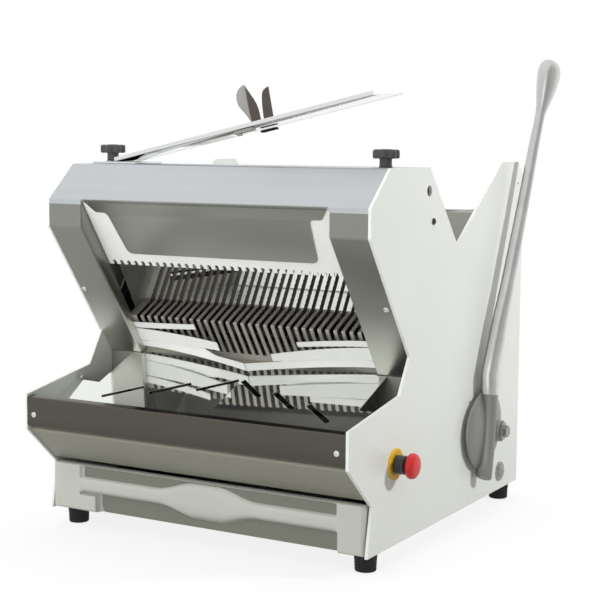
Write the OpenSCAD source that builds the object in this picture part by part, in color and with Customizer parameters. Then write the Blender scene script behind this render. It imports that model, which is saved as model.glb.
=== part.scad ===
// Table-top bread slicer with a feed lever, reciprocating blades, crumb drawer and bagging shovel

/* [Body] */
// Width over the outer faces of the side panels
body_w = 620; // [560:1:700]
// Thickness of each side panel
panel_t = 5; // [4:0.5:8]
// Depth from the lower front corner to the back edge
body_d = 615; // [600:1:650]
// Setback of the panel's front edge at the drawer's head
step_y = 14; // [8:1:20]
// Height of the drawer's head on the panel
step_z = 78; // [70:1:86]
// How far the apron stands in front of the lower front corner
apron_reach = 64; // [50:1:80]
// Height of the apron's lower edge
apron_low_z = 150; // [140:1:160]
// Height of the apron's upper edge
apron_high_z = 209; // [200:1:220]
// Depth of the panel's ledge behind the apron
ledge_y = 106; // [95:1:115]
// Height of the panel's ledge
ledge_z = 238; // [230:1:246]
// Depth of the panel's waist
waist_y = 141; // [132:1:150]
// Height of the panel's waist
waist_z = 295; // [285:1:305]
// Height of the lower edge of the hood's upright end
brow_low_z = 490; // [480:1:500]
// Height of the upper edge of the hood's upright end
brow_high_z = 536; // [528:1:544]
// Depth of the hood's upper front edge
crown_y = 65; // [55:1:75]
// Height of the hood's top
front_top_z = 595; // [585:1:610]
// Depth of the hood's upper rear edge
saddle_front_y = 207; // [200:1:215]
// Depth of the saddle's lowest point
saddle_y = 321; // [315:1:328]
// Height of the saddle's lowest point
saddle_z = 467; // [462:1:475]
// Flat length at the bottom of the saddle
saddle_flat = 8; // [4:1:14]
// Distance of the rear top's front edge from the back edge
rear_crown_in = 102; // [93:1:110]
// Height of the rear top
rear_top_z = 601; // [590:1:615]
// Height of the rear cover between the side panels (mm)
cover_top_z = 510; // [480:1:530]
// Depth of the lip along the rear cover's top (mm)
cover_lip = 18; // [12:1:24]
// Distance of the rear corner's cut from the back edge
chamfer_in = 25; // [17:1:35]
// Height where the rear corner's cut meets the back
chamfer_z = 575; // [560:1:585]
// Thickness of the folded sheets
sheet_t = 2; // [1.5:0.5:3]
// Thickness of the base plate
base_t = 4; // [3:0.5:6]
// Setback of the base plate behind the lower front corner
base_front_y = 20; // [16:1:30]
// Overrun of every cut
cut = 1; // [0.5:0.5:2]

/* [Feet] */
// Height of a rubber foot
foot_h = 32; // [24:1:40]
// Radius of a rubber foot
foot_r = 18.5; // [14:0.5:20]
// Distance of a foot's centre from the panel's inner face
foot_inset = 21; // [20.5:0.5:30]
// Depth of the front feet
foot_front_y = 45; // [40:1:60]
// Distance of the rear feet from the back edge
foot_rear_inset = 25; // [22:1:40]

/* [Hood] */
// Half width between the inner edges of the hood's legs
leg_in_x = 238; // [230:1:242]
// Height of the lower end of the hood's legs
leg_foot_z = 256; // [250:1:262]
// Forward lean of the flap and the guard
guard_lean = 34.2; // [33:0.2:35]
// Width of the flap at its top
flap_top_w = 472; // [460:1:474]
// Length of the flap's wide part
flap_shoulder_len = 26; // [20:1:32]
// Width of the flap at its shoulder
flap_shoulder_w = 434; // [424:1:444]
// Width of the flap just below its shoulder
flap_low_top_w = 390; // [380:1:400]
// Width of the flap at its lower edge
flap_low_w = 370; // [360:1:380]
// Length of the flap along its lean
flap_len = 112; // [105:1:118]
// Radius of the flap's lower corners
flap_corner_r = 10; // [6:1:14]
// Thickness of the white guard
guard_t = 3; // [2:0.5:4]
// Length of the white guard along its lean
guard_len = 138; // [130:1:150]
// Length of the guard's slots
guard_slot_len = 9; // [8:1:30]
// Width of the guard's slots
guard_slot_w = 7; // [5:0.5:8]
// Length of the hood's back plate below the top
back_plate_len = 128; // [115:1:132]
// Width of the back plate's upper flange
back_flange = 24; // [16:1:30]
// Depth of a chute post
post_depth = 21; // [18:1:22]
// Height of the lower end of a chute post
post_low_z = 185; // [180:1:195]

/* [Apron] */
// Length of the apron's upper and lower returns
apron_return = 15; // [10:1:18]
// Height of the apron's lower fold above the panel's edge
apron_lift = 4; // [2:1:6]
// Drop of the apron's upper fold below the panel's edge
apron_drop = 5; // [3:1:8]
// Rise of the apron's upper return
apron_rise = 2.6; // [1:0.1:4]
// Setback of the lower front panel from the apron
slope_setback = 2; // [1:0.5:4]
// Length of the lower front panel's foot flange
slope_flange = 12; // [8:1:16]
// Depth of the lower front panel's lower fold
slope_low_y = 5; // [3:1:10]
// Height of the lower front panel's lower fold
slope_low_z = 90; // [86:1:96]

/* [Outfeed] */
// Height of the outfeed table's plane above the lower front corner
table_z = 179; // [172:1:186]
// Fall of the outfeed table towards the front
table_slope = 22.3; // [20:0.1:24]
// Rise of each half of the outfeed table towards its side
table_fold = 1.7; // [1:0.1:2.4]
// Half width of the outfeed table's rear part
table_rear_x = 256; // [250:1:262]
// Depth where the outfeed table becomes narrower
table_notch_y = 69; // [60:1:80]
// Width of a slot in the outfeed table
table_slot_w = 9; // [6:0.5:10]
// Length of a slot in the outfeed table
table_slot_len = 74; // [66:1:80]
// Turn of a slot in the outfeed table from straight across
table_slot_turn = 38; // [34:1:42]
// Sideways distance of the first slot's middle
table_slot_x = 40; // [36:1:44]
// Depth of the first slot's middle
table_slot_y = 107; // [102:1:112]
// Sideways distance between slots
table_slot_dx = 79; // [74:1:82]
// Depth distance between slots
table_slot_dy = 27; // [24:1:30]
// Height of the comb's nose
comb_nose_z = 327; // [324:1:330]
// Depth of the comb's crest
comb_crest_y = 190; // [188:1:194]
// Height of the comb's lower end
comb_low_z = 238; // [232:1:244]
// Height of the lower ends of the comb's slots
comb_slot_z = 268; // [264:1:274]
// Width of a slot in the comb
comb_slot_w = 8; // [6.5:0.5:9]
// Depth of the comb's rear edge
comb_rear_y = 216; // [214:1:222]
// Distance of the comb's slots from its rear edge
comb_slot_rear = 8; // [5:0.5:10]

/* [Infeed] */
// Height of the infeed bed
bed_z = 352; // [351:0.5:354]
// Width of the bay between each cheek and its side panel
side_bay = 60; // [58:1:62]
// Depth of the lower front corner of a cheek
cheek_low_y = 163; // [158:1:168]
// Depth of the upper front corner of a cheek
cheek_high_y = 115; // [110:1:120]
// Height of the front part of a cheek
cheek_front_z = 440; // [434:1:444]
// Height of the front corner of a cheek
cheek_nose_z = 422; // [415:1:430]
// Drop of a cheek's flange below the saddle's edge
cheek_drop = 8; // [6:1:12]
// Height of the rear part of a cheek
cheek_rear_z = 514; // [510:1:520]
// Distance of a cheek's end from the back edge
cheek_end = 17; // [15:1:20]
// Setback of a cheek's front part ahead of the saddle
cheek_step = 16; // [12:1:20]

/* [Pusher] */
// Distance of the pusher's lower edge at rest from the back edge
pusher_in = 137; // [133:1:141]
// Depth of the pusher's lower edge at the end of its travel
pusher_front_y = 203; // [200:1:208]
// Gap between the pusher and the bed
pusher_gap = 2; // [1:0.5:4]
// Thickness of the pusher plate
pusher_t = 3; // [2:0.5:4]
// Length of the pusher plate along its lean
pusher_len = 112; // [100:1:116]
// Half width of the pusher plate
pusher_half_w = 236; // [230:1:240]
// Depth of the crossbar's middle behind the pusher's lower edge
crossbar_y = 80; // [78:1:84]
// Side of the square crossbar
crossbar_w = 14; // [12:0.5:16]
// Height of the pusher's rails
rail_z = 385; // [383:1:388]
// Radius of the pusher's rails
rail_r = 8; // [6:0.5:9]
// Sideways distance of a rail from its cheek
rail_out = 20; // [19:0.5:21]
// Sideways half width of a slider block
slider_half_w = 9; // [8.5:0.5:9.5]
// Length of a slider block
slider_len = 40; // [36:1:42]
// Height of a slider block
slider_h = 24; // [22:1:26]
// Depth of a slider block's front behind the pusher's lower edge
slider_y = 72; // [71.5:0.5:72.5]
// Radial play of a running fit
play = 0.05; // [0.03:0.01:0.08]
// Depth of the fork's middle behind the pusher's lower edge
fork_y = 98; // [97:0.5:99]
// Gap on each side of a roller in its fork
fork_gap = 6.5; // [6:0.1:7]
// Thickness of the fork's prongs
fork_t = 7; // [5:0.5:8]
// Sideways distance of the fork's inner face from the cheek
fork_out = 34; // [33:0.5:35]
// Width of the fork's prongs
fork_w = 8; // [6:0.5:8.5]
// Height of the fork's prongs at their lower end
fork_low_z = 326; // [320:1:328]
// Height of the fork's head
fork_high_z = 416; // [415:1:420]
// Thickness of the fork's head
fork_head = 10; // [8:1:12]
// Depth of a rail's front end
rail_front_y = 268; // [267:0.5:268.5]
// Thickness of a rail's bracket
rail_bracket_t = 6; // [5:0.5:7]
// Width of a rail's bracket
rail_bracket_w = 30; // [28:1:31]
// Height of a rail's bracket
rail_bracket_h = 26; // [24:1:28]
// Distance between the pusher's ribs
rib_step = 150; // [120:1:180]
// Thickness of a pusher's rib
rib_t = 6; // [4:0.5:8]

/* [Lever] */
// Distance of the lever's pivot from the back edge
pivot_in = 145; // [141:1:149]
// Height of the lever's pivot
pivot_z = 122; // [118:1:126]
// Radius of the lever's shaft
shaft_r = 11; // [10:0.5:12]
// Length of the inner arms between their centres
arm_len = 280; // [276:1:284]
// Backward lean of the inner arms at rest
arm_lean = 22.25; // [22:0.05:22.5]
// Width of an inner arm
arm_w = 22; // [18:1:24]
// Radius of the eye at an inner arm's end
arm_eye_r = 14; // [13:0.5:16]
// Thickness of an inner arm
arm_t = 8; // [6:0.5:9]
// Gap between an inner arm and the side panel
arm_gap = 7; // [6.5:0.5:8]
// Radius of an inner arm's hub
arm_hub_r = 20; // [18:0.5:22]
// Radius of a roller
roller_r = 12; // [11:0.5:13]
// Radius of a roller's pin
roller_pin_r = 5; // [4:0.5:6]
// Radius of a shaft bush in its panel
bush_r = 16; // [14.5:0.5:18]
// Radius of a shaft bush's flange
bush_flange_r = 21; // [20:0.5:24]
// Thickness of a shaft bush's flange
bush_flange_t = 3; // [2:0.5:4]
// Gap between the side panel and the lever's hub
hub_gap = 10; // [9:0.5:12]
// Thickness of the lever's hub plate
hub_t = 14; // [12:0.5:16]
// Distance of the hub's middle in front of the pivot
hub_fore = 45; // [40:1:48]
// Half height of the lever's hub
hub_half_h = 75; // [70:1:80]
// Half width of the lever's hub
hub_half_w = 62; // [58:1:66]
// Radius of the boss around the lever's shaft
hub_boss_r = 24; // [22:0.5:28]
// Thickness of the boss beyond the hub plate
hub_boss_t = 4; // [2:0.5:6]
// Backward lean of the lever's bar
bar_lean = 21.2; // [20.5:0.1:22]
// Outward lean of the lever's bar
bar_splay = 1; // [0.5:0.1:1.5]
// Distance of the bar's foot in front of the pivot
bar_fore = 88; // [84:1:92]
// Distance of the bar's foot below the pivot
bar_drop = 62; // [58:1:66]
// Length of the lever's bar up to the grip
bar_len = 660; // [640:1:680]
// Radius of the bar at its foot
bar_foot_r = 11; // [10:0.5:12]
// Radius of the bar at the grip
bar_top_r = 8; // [7:0.5:9]
// Radius of the collar at the bar's foot
bar_collar_r = 15; // [13:0.5:16]
// Length of the collar at the bar's foot
bar_collar_len = 34; // [28:1:40]
// Length of the grip
grip_len = 118; // [105:1:125]
// Half width of the grip at its top
grip_half_w = 22; // [18:0.5:25]
// Half thickness of the grip
grip_half_t = 9; // [7:0.5:10]
// Radius of the lever bolt's washer
washer_r = 15.5; // [14:0.5:18]
// Thickness of a washer
washer_t = 3; // [2:0.5:4]
// Radius of the hexagon over its corners
hex_r = 11; // [9:0.5:12]
// Height of the hexagon
hex_h = 8; // [6:0.5:9]
// Radius of the lever bolt's shank
shank_r = 5; // [4:0.5:6]
// Length of the lever bolt's shank
shank_len = 24; // [18:1:30]

/* [Blades] */
// Depth where the blades meet the comb
blade_foot_y = 186; // [184:1:188]
// Height where the blades meet the comb
blade_foot_z = 350; // [348:1:351]
// Backward lean of the blades
blade_lean = 30; // [29:0.5:31]
// Distance between neighbouring blades
blade_pitch = 15; // [14:0.1:15.4]
// Number of blades to each side of the middle one
blade_side_count = 15; // [12:1:15]
// Width of a blade
blade_w = 12; // [10:0.5:12.5]
// Thickness of a blade
blade_t = 1; // [0.6:0.1:1.2]
// Length of the blades above the comb
blade_rise = 140; // [136:1:142]
// Length of the front frame's blades below the comb
front_drop = 24; // [23:0.5:26]
// Length of the rear frame's blades below the comb
rear_drop = 30; // [29:0.5:31]
// Half stroke of a blade frame
stroke = 8; // [6:0.5:8]
// Gap between the blades' middle plane and the front frame's lower bar
bar_gap = 8; // [7.5:0.5:9]
// Gap between the blades' middle plane and an upper bar
upper_bar_gap = 6.5; // [6.5:0.1:7]
// Shift of each set of blades towards its own upper bar
blade_shift = 0.5; // [0.3:0.1:0.5]
// Length of a blade on the face of its upper bar
blade_grip = 16; // [10:1:18]
// Depth of a bar
bar_d = 12; // [10:0.5:12.5]
// Height of an upper bar
upper_bar_h = 20; // [16:1:22]
// Width of a blade's holder
holder_w = 5; // [4:0.5:5.5]
// Height of a blade's holder
holder_h = 8; // [7:0.5:9]
// Drop of the front frame's lower bar below the comb
front_bar_drop = 6; // [5.5:0.5:7]
// Height of the front frame's lower bar
front_bar_h = 40; // [38:1:42]
// Drop of the slots in the front frame's lower bar
front_slot_drop = 13; // [12.5:0.5:13.5]
// Width of the slots in the front frame's lower bar
front_slot_w = 8; // [7:0.5:9]
// Drop of the rear frame's lower bar below the comb
rear_bar_drop = 22; // [20:1:24]
// Height of the rear frame's lower bar
rear_bar_h = 24; // [20:1:26]
// Depth of the rear frame's lower bar behind the blades
rear_bar_y = 26; // [25:0.5:27]
// Distance of the rear frame's rails from the cheek
rear_rail_out = 9; // [8:0.5:10]
// Thickness of a frame's rail
frame_rail_t = 10; // [8:0.5:10.5]
// Sideways step from the rear to the front frame's rails
frame_rail_step = 14; // [13.5:0.5:14.5]
// Depth of the front frame's rail
front_rail_d = 16; // [14:0.5:17]
// Distance of the front frame's rail in front of the blades
front_rail_y = 4; // [3:0.5:5]
// Depth of the foot of the front frame's rail
front_foot_d = 40; // [36:1:41]
// Depth of the head of the rear frame's rail
rear_head_d = 30; // [28:1:31]
// Height of the head of the rear frame's rail
rear_head_h = 40; // [30:1:44]
// Radius of a frame's guide rod
rod_r = 5; // [4:0.5:6]
// Width of a guide's bush block
guide_w = 22; // [18:1:22]
// Depth of a guide's bush block
guide_d = 20; // [16:1:20]
// Height of a guide's bush block
guide_h = 22; // [18:1:24]
// Height of the upper bush blocks above the comb
guide_high = 60; // [56:1:62]
// Drop of the front frame's lower bush blocks below the comb
front_guide_drop = 21; // [20:0.5:22]
// Height of the rear frame's lower bush blocks above the comb
rear_guide_low = 14; // [13:0.5:15]
// Thickness of a guide rod's bracket
bracket_t = 10; // [8:1:11]
// Height of the upper brackets above the comb
bracket_high = 121; // [120:1:124]
// Distance from a bush block to the bracket below it
bracket_gap = 17; // [16:0.5:18]
// Depth of a guide rod's bracket
bracket_d = 16; // [14:1:16]

/* [Drive] */
// Depth of the crankshaft
crank_y = 215; // [214:0.5:216]
// Height of the crankshaft
crank_z = 110; // [108:1:112]
// Radius of the crankshaft
crank_r = 10; // [9:0.5:11]
// Radius of an eccentric
eccentric_r = 20; // [19:0.5:22]
// Side gap between an eccentric and its strap's faces
eccentric_inset = 1; // [0.5:0.5:2]
// Play between an eccentric and its opened strap
strap_play = 1.5; // [1:0.1:2]
// Wall of a strap
strap_wall = 8; // [6:0.5:9]
// Drop of the front frame's drop arm below the comb
front_arm_drop = 30; // [28:0.5:32]
// Half width of a frame's drop arm
drop_half_w = 10; // [8:0.5:11]
// Height where a drop arm bends
drop_bend_z = 262; // [258:1:266]
// Thickness of a crank bearing
bearing_t = 12; // [10:0.5:14]
// Distance of a crank bearing from the cheek's inner face
bearing_inset = 7; // [6.5:0.5:8]
// Half width of a crank bearing
bearing_half_w = 20; // [17:1:22]
// Radius of the crank pulley
pulley_r = 65; // [60:1:66]
// Width of the pulleys
pulley_w = 14; // [12:0.5:15]
// Gap between a pulley and the side panel
pulley_gap = 5; // [4:0.5:6]
// Radius of the motor pulley
small_pulley_r = 26; // [22:0.5:28]
// Depth of a pulley's groove
groove = 4; // [3:0.5:5]
// Width of a pulley's flange
flange_w = 2; // [1.5:0.5:2.5]
// Thickness of the belt
belt_t = 5; // [4:0.5:6]
// Gap between the belt and its pulleys
belt_gap = 0.4; // [0.3:0.1:0.6]
// Depth of the motor
motor_y = 395; // [390:1:398]
// Height of the motor
motor_z = 80; // [78:1:84]
// Radius of the motor
motor_r = 56; // [50:1:58]
// Length of the motor
motor_len = 190; // [160:1:220]
// Distance from the left cheek's inner face to the motor
motor_inset = 20; // [12:1:30]
// Radius of the motor's shaft
motor_shaft_r = 8; // [7:0.5:9]
// Half spacing of the motor's feet
motor_foot_y = 42; // [38:1:46]
// Width of a motor's foot
motor_foot_w = 18; // [14:1:22]
// Thickness of the motor's bracket
motor_bracket_t = 14; // [10:1:16]
// Overhang of the motor's bracket
motor_bracket_rim = 8; // [5:1:12]
// Side of the motor's terminal box
motor_box = 60; // [50:1:70]
// Rise of the motor's terminal box
motor_box_h = 22; // [16:1:24]

/* [Drawer] */
// Gap between the drawer and its neighbours
drawer_gap = 2; // [1.5:0.5:4]
// Height of the drawer's front
drawer_h = 82; // [78:1:84]
// Depth of the drawer's front plate
drawer_plate_t = 6; // [4:0.5:8]
// Depth of the drawer's front in front of its plate
drawer_relief = 9; // [6:0.5:11]
// Width of the drawer's end posts
drawer_post_w = 58; // [52:1:64]
// Upper edge of the drawer's handle band
band_high_z = 60; // [56:1:64]
// Lower edge of the drawer's handle band
band_low_z = 30; // [26:1:34]
// Upper edge of the handle's middle
band_mid_high_z = 74; // [70:1:77]
// Lower edge of the handle's middle
band_mid_low_z = 20; // [16:1:24]
// Half width of the handle's middle
band_mid_x = 70; // [50:1:90]
// Half width where the handle's middle begins to swell
band_swell_x = 150; // [120:1:180]
// Height of the drawer's head lip
drawer_lip = 5; // [4:0.5:7]
// Half width of the crumb tray
tray_half_w = 226; // [220:1:230]
// Depth of the crumb tray
tray_d = 280; // [250:1:300]
// Height of the crumb tray
tray_h = 60; // [50:1:64]
// Wall of the crumb tray
tray_t = 2; // [1.5:0.5:3]
// Travel of the drawer
drawer_travel = 230; // [180:1:250]
// Width of a runner's ledge
runner_ledge = 26; // [20:1:32]
// Thickness of a runner
runner_t = 6; // [5:0.5:7]
// Height of a runner
runner_h = 26; // [20:1:32]

/* [Emergency stop] */
// Depth of the emergency stop
stop_y = 92; // [88:1:96]
// Height of the emergency stop
stop_z = 131.6; // [128:0.2:135]
// Radius of the yellow plate
stop_plate_r = 25.5; // [22:0.5:28]
// Thickness of the yellow plate
stop_plate_t = 3; // [2:0.5:4]
// Radius of the neck in the panel
stop_neck_r = 11; // [10:0.5:12]
// Radius of the collar
stop_collar_r = 15; // [13:0.5:17]
// Length of the collar
stop_collar_len = 17; // [14:1:20]
// Radius of the button's stem
stop_stem_r = 7; // [6:0.5:8]
// Length of the button's stem in its collar
stop_stem_len = 10; // [8:1:12]
// Travel of the button
stop_travel = 4; // [3:0.5:5]
// Gap between the collar and the button's head
stop_gap = 5.5; // [4.5:0.5:7]
// Radius of the button's head
stop_head_r = 20.5; // [18:0.5:22]
// Length of the button's head
stop_head_len = 13; // [10:0.5:15]
// Rounding of the button's head
stop_head_round = 5; // [3:0.5:6]
// Side of the contact block
stop_block = 38; // [32:1:40]
// Length of the contact block
stop_block_len = 36; // [30:1:40]

/* [Top] */
// Distance of a knob from the panel's inner face
knob_inset = 37; // [34:1:42]
// Depth of the knobs
knob_y = 130; // [125:1:135]
// Radius of a knob's head
knob_r = 22; // [19:0.5:24]
// Height of a knob's head
knob_h = 14.5; // [12:0.5:17]
// Radius of a knob's stem
knob_stem_r = 10; // [8:0.5:11]
// Height of a knob's stem
knob_stem_h = 14; // [11:0.5:16]
// Radius of a knob's hollows
knob_hollow_r = 7; // [5:0.5:8]
// Distance of a knob's hollows outside its head
knob_hollow_out = 3.5; // [3:0.5:5]
// Number of a knob's hollows
knob_hollows = 7; // [5:1:9]
// Radius of a knob's stud
stud_r = 4; // [3:0.5:5]
// Height of a knob's stud above the hood
stud_h = 22; // [18:1:24]
// Radius of a stud's head under the hood
stud_head_r = 9; // [7:0.5:11]
// Height of a stud's head
stud_head_h = 5; // [3:0.5:6]
// Thickness of the shovel's foot
shovel_foot_t = 4; // [3:0.5:5]
// Gap between the shovel's foot and its knob
shovel_lift = 0.4; // [0.3:0.1:0.6]
// Distance of the shovel's foot beyond the knob
shovel_foot_out = 14; // [13:1:18]
// Length of the shovel's foot
shovel_foot_len = 92; // [80:1:100]
// Depth of the shovel's front edge
shovel_y = 90; // [86:1:94]
// Depth of the shovel's plate
shovel_d = 78; // [70:1:84]
// Length of the shovel's plate
shovel_len = 523; // [500:1:540]
// Rise of the shovel's plate
shovel_rise = 12.2; // [11:0.1:13]
// Distance from the foot's outer end to the plate's fold
shovel_fold = 38; // [34:1:44]
// Distance of the first leaf along the plate
ear_x = 276; // [260:1:290]
// Distance between the two leaves
ear_step = 34; // [30:1:44]
// Width of a leaf
ear_w = 26; // [20:1:30]
// Width of a leaf's neck
ear_neck_w = 20; // [16:1:22]
// Height of a leaf
ear_h = 62; // [52:1:68]
// Thickness of a leaf
ear_t = 2; // [1.5:0.5:3]
// Depth of the leaves behind the shovel's front edge
ear_y = 40; // [30:1:50]
// Lean of the leaves
ear_lean = 18; // [12:1:24]
// Length of a leaf's foot
ear_foot = 16; // [12:1:18]

/* [Fasteners] */
// Radius of a cover screw's head
screw_r = 5; // [4:0.5:6]
// Height of a cover screw's head
screw_h = 2.5; // [2:0.5:4]
// Distance of the hood's screws from the panel's inner face
hood_screw_in = 9; // [8:0.5:12]
// Height of the hood's screws
hood_screw_z = 376; // [365:1:385]
// Distance of the apron's screws from the panel's inner face
apron_screw_in = 15; // [12:1:20]
// Height of the apron's screws
apron_screw_z = 175; // [170:1:182]
// Depth of the inner panel screws
inner_screw_y = 83; // [78:1:90]
// Height of the lower inner panel screw
inner_screw_z = 184; // [180:1:190]
// Distance between the inner panel screws
inner_screw_step = 32; // [28:1:36]
// Depth of the outer panel screw
outer_screw_y = 221.6; // [215:0.2:228]
// Height of the outer panel screw
outer_screw_z = 507.4; // [502:0.2:513]
// Radius of the washer under a panel bolt
bolt_washer_r = 17.5; // [15:0.5:19]
// Radius of a panel bolt's head
bolt_r = 11; // [9:0.5:13]
// Height of a panel bolt's head
bolt_h = 5; // [4:0.5:5.5]
// Distance of the panel bolt from the back edge
bolt_in = 87; // [79:1:95]
// Height of the panel bolt
bolt_z = 34; // [30:1:40]
// Radius of the plain hole in the right panel
plain_hole_r = 9; // [7:0.5:11]
// Depth of the plain hole
plain_hole_y = 205; // [200:0.5:212]
// Height of the plain hole
plain_hole_z = 557; // [550:0.5:562]
// Radius of the small holes in the right panel
small_hole_r = 3; // [2:0.5:4]
// Depth of the lower small hole
low_hole_y = 384.8; // [380:0.2:390]
// Height of the lower small hole
low_hole_z = 183.8; // [180:0.2:190]
// Distance of the upper small hole from the back edge
high_hole_in = 25; // [20:0.5:30]
// Height of the upper small hole
high_hole_z = 560.6; // [555:0.2:566]
// Sideways place of the cable gland left of the middle
gland_x = 200; // [150:1:240]
// Height of the cable gland
gland_z = 60; // [45:1:90]
// Radius of the cable gland
gland_r = 13; // [10:0.5:16]
// Length of the cable gland
gland_len = 18; // [14:1:24]
// Radius of the cable gland's bore
gland_bore_r = 5; // [4:0.5:6]

/* [Hidden] */
$fn = 64;
// Slope of the flap and the guard, depth for height
lean_share = tan(guard_lean);
inner_x = body_w / 2 - panel_t;
outer_x = body_w / 2;
cheek_x = inner_x - side_bay;
cheek_out_x = cheek_x + sheet_t;
back_in_y = body_d - sheet_t;
rear_crown_y = body_d - rear_crown_in;
chamfer_y = body_d - chamfer_in;
pusher_y = body_d - pusher_in;
pusher_travel = pusher_y - pusher_front_y;
pivot_y = body_d - pivot_in;
bolt_y = body_d - bolt_in;
nose_y = (brow_high_z - comb_nose_z) * lean_share;
comb_low_y = (brow_high_z - comb_low_z) * lean_share;
leg_fall_share = (waist_y) / (brow_low_z - waist_z);
leg_foot_y = (brow_low_z - leg_foot_z) * leg_fall_share;
leg_tilt = atan(leg_fall_share);
lever_out_x = outer_x + hub_gap + hub_t / 2 + (bar_len + grip_len) * sin(bar_splay) + grip_half_t;
lever_back_y = pivot_y - bar_fore + (bar_len + grip_len) * sin(bar_lean) + grip_half_w * cos(bar_lean);
shift_x = (lever_out_x - outer_x) / 2;
shift_y = (lever_back_y - apron_reach) / 2;
rear_rail_x = cheek_out_x + rear_rail_out;
front_rail_x = rear_rail_x + frame_rail_step;
front_rod_x = front_rail_x + frame_rail_t + guide_w / 2;
rear_rod_x = rear_rail_x + frame_rail_t + guide_w / 2;
front_rod_y = -front_rail_y - front_rail_d / 2;
rear_rod_y = rear_bar_y + bar_d / 2;
strap_r = stroke + eccentric_r + stroke + strap_play;
rail_x = cheek_out_x + rail_out;
fork_x = cheek_out_x + fork_out;
arm_x = inner_x - arm_gap - arm_t;
knob_x = inner_x - knob_inset;
pulley_x = inner_x - pulley_gap - pulley_w;
hub_x = outer_x + hub_gap;
hub_arc_r = (hub_half_h * hub_half_h + hub_half_w * hub_half_w) / (2 * hub_half_w);
motor_x = -cheek_x + motor_inset;
drawer_plate_y = drawer_relief;
tray_y = drawer_relief + drawer_plate_t;
tray_z = base_t + drawer_gap;
runner_x = tray_half_w + drawer_gap;
roller_y = pivot_y + arm_len * sin(arm_lean);
roller_z = pivot_z + arm_len * cos(arm_lean);

function unit(v) = v / norm(v);
function turn_left(v) = [-v[1], v[0]];
function dir_in(p, i) = i > 0 ? unit(p[i] - p[i - 1]) : unit(p[1] - p[0]);
function dir_out(p, i) = i < len(p) - 1 ? unit(p[i + 1] - p[i]) : dir_in(p, i);
function mitre(p, i, t) = let (m = unit(turn_left(dir_in(p, i)) + turn_left(dir_out(p, i))))
    p[i] + m * t / (m * turn_left(dir_out(p, i)));
function strip(p, t) = concat(p, [for (i = [len(p) - 1:-1:0]) mitre(p, i, t)]);
function lean_y(z) = (brow_high_z - z) * lean_share;
function blade_x(i) = i * blade_pitch;

module at_machine() {
    translate([-shift_x, -shift_y, foot_h]) children();
}

module both_sides() {
    children();
    mirror([1, 0, 0]) children();
}

module slab(points, x0, x1) {
    translate([x0, 0, 0]) rotate([90, 0, 90]) linear_extrude(x1 - x0) polygon(points);
}

module box(x0, x1, y0, y1, z0, z1) {
    translate([x0, y0, z0]) cube([x1 - x0, y1 - y0, z1 - z0]);
}

module rod_x(r, x0, x1, y, z) {
    translate([x0, y, z]) rotate([0, 90, 0]) cylinder(r = r, h = x1 - x0);
}

module rod_y(r, y0, y1, x, z) {
    translate([x, y0, z]) rotate([-90, 0, 0]) cylinder(r = r, h = y1 - y0);
}

module rod_z(r, z0, z1, x, y) {
    translate([x, y, z0]) cylinder(r = r, h = z1 - z0);
}

module at_guard() {
    translate([0, 0, brow_high_z]) rotate([guard_lean, 0, 0]) children();
}

module at_blades() {
    translate([0, blade_foot_y, blade_foot_z]) rotate([-blade_lean, 0, 0]) children();
}

module plate_xz(points, y0, y1) {
    translate([0, y1, 0]) rotate([90, 0, 0]) linear_extrude(y1 - y0) polygon(points);
}

module panel_shape() {
    slab([[0, 0], [step_y, step_z], [-apron_reach, apron_low_z], [-apron_reach, apron_high_z], [ledge_y, ledge_z],
        [waist_y, waist_z], [0, brow_low_z], [0, brow_high_z], [crown_y, front_top_z],
        [saddle_front_y, front_top_z], [saddle_y - saddle_flat / 2, saddle_z],
        [saddle_y + saddle_flat / 2, saddle_z], [rear_crown_y, rear_top_z], [chamfer_y, rear_top_z],
        [body_d, chamfer_z], [body_d, 0]], inner_x, outer_x);
}

module left_side_panel() {
    color("white") mirror([1, 0, 0]) difference() {
        panel_shape();
        rod_x(bush_r + play, inner_x - cut, outer_x + cut, pivot_y, pivot_z);
    }
}

module right_side_panel() {
    color("white") difference() {
        panel_shape();
        rod_x(bush_r + play, inner_x - cut, outer_x + cut, pivot_y, pivot_z);
        rod_x(stop_neck_r + play, inner_x - cut, outer_x + cut, stop_y, stop_z);
        rod_x(plain_hole_r, inner_x - cut, outer_x + cut, plain_hole_y, plain_hole_z);
        rod_x(small_hole_r, inner_x - cut, outer_x + cut, low_hole_y, low_hole_z);
        rod_x(small_hole_r, inner_x - cut, outer_x + cut, body_d - high_hole_in, high_hole_z);
    }
}

module base_plate() {
    color("silver") box(-inner_x, inner_x, base_front_y, back_in_y, 0, base_t);
}

module rear_cover() {
    color("white") difference() {
        slab(strip([[body_d - cover_lip, cover_top_z], [body_d, cover_top_z], [body_d, 0]], -sheet_t),
            -inner_x, inner_x);
        rod_y(gland_bore_r + play, back_in_y - cut, body_d + cut, -gland_x, gland_z);
    }
}

module flap() {
    low = -flap_len;
    shoulder = -flap_shoulder_len;
    difference() {
        plate_xz([[-flap_top_w / 2, 0], [-flap_shoulder_w / 2, shoulder], [-flap_low_top_w / 2, shoulder],
            [-flap_low_w / 2, low + flap_corner_r], [-flap_low_w / 2 + flap_corner_r, low],
            [flap_low_w / 2 - flap_corner_r, low], [flap_low_w / 2, low + flap_corner_r],
            [flap_low_top_w / 2, shoulder], [flap_shoulder_w / 2, shoulder], [flap_top_w / 2, 0]], 0, sheet_t);
    }
}

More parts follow.
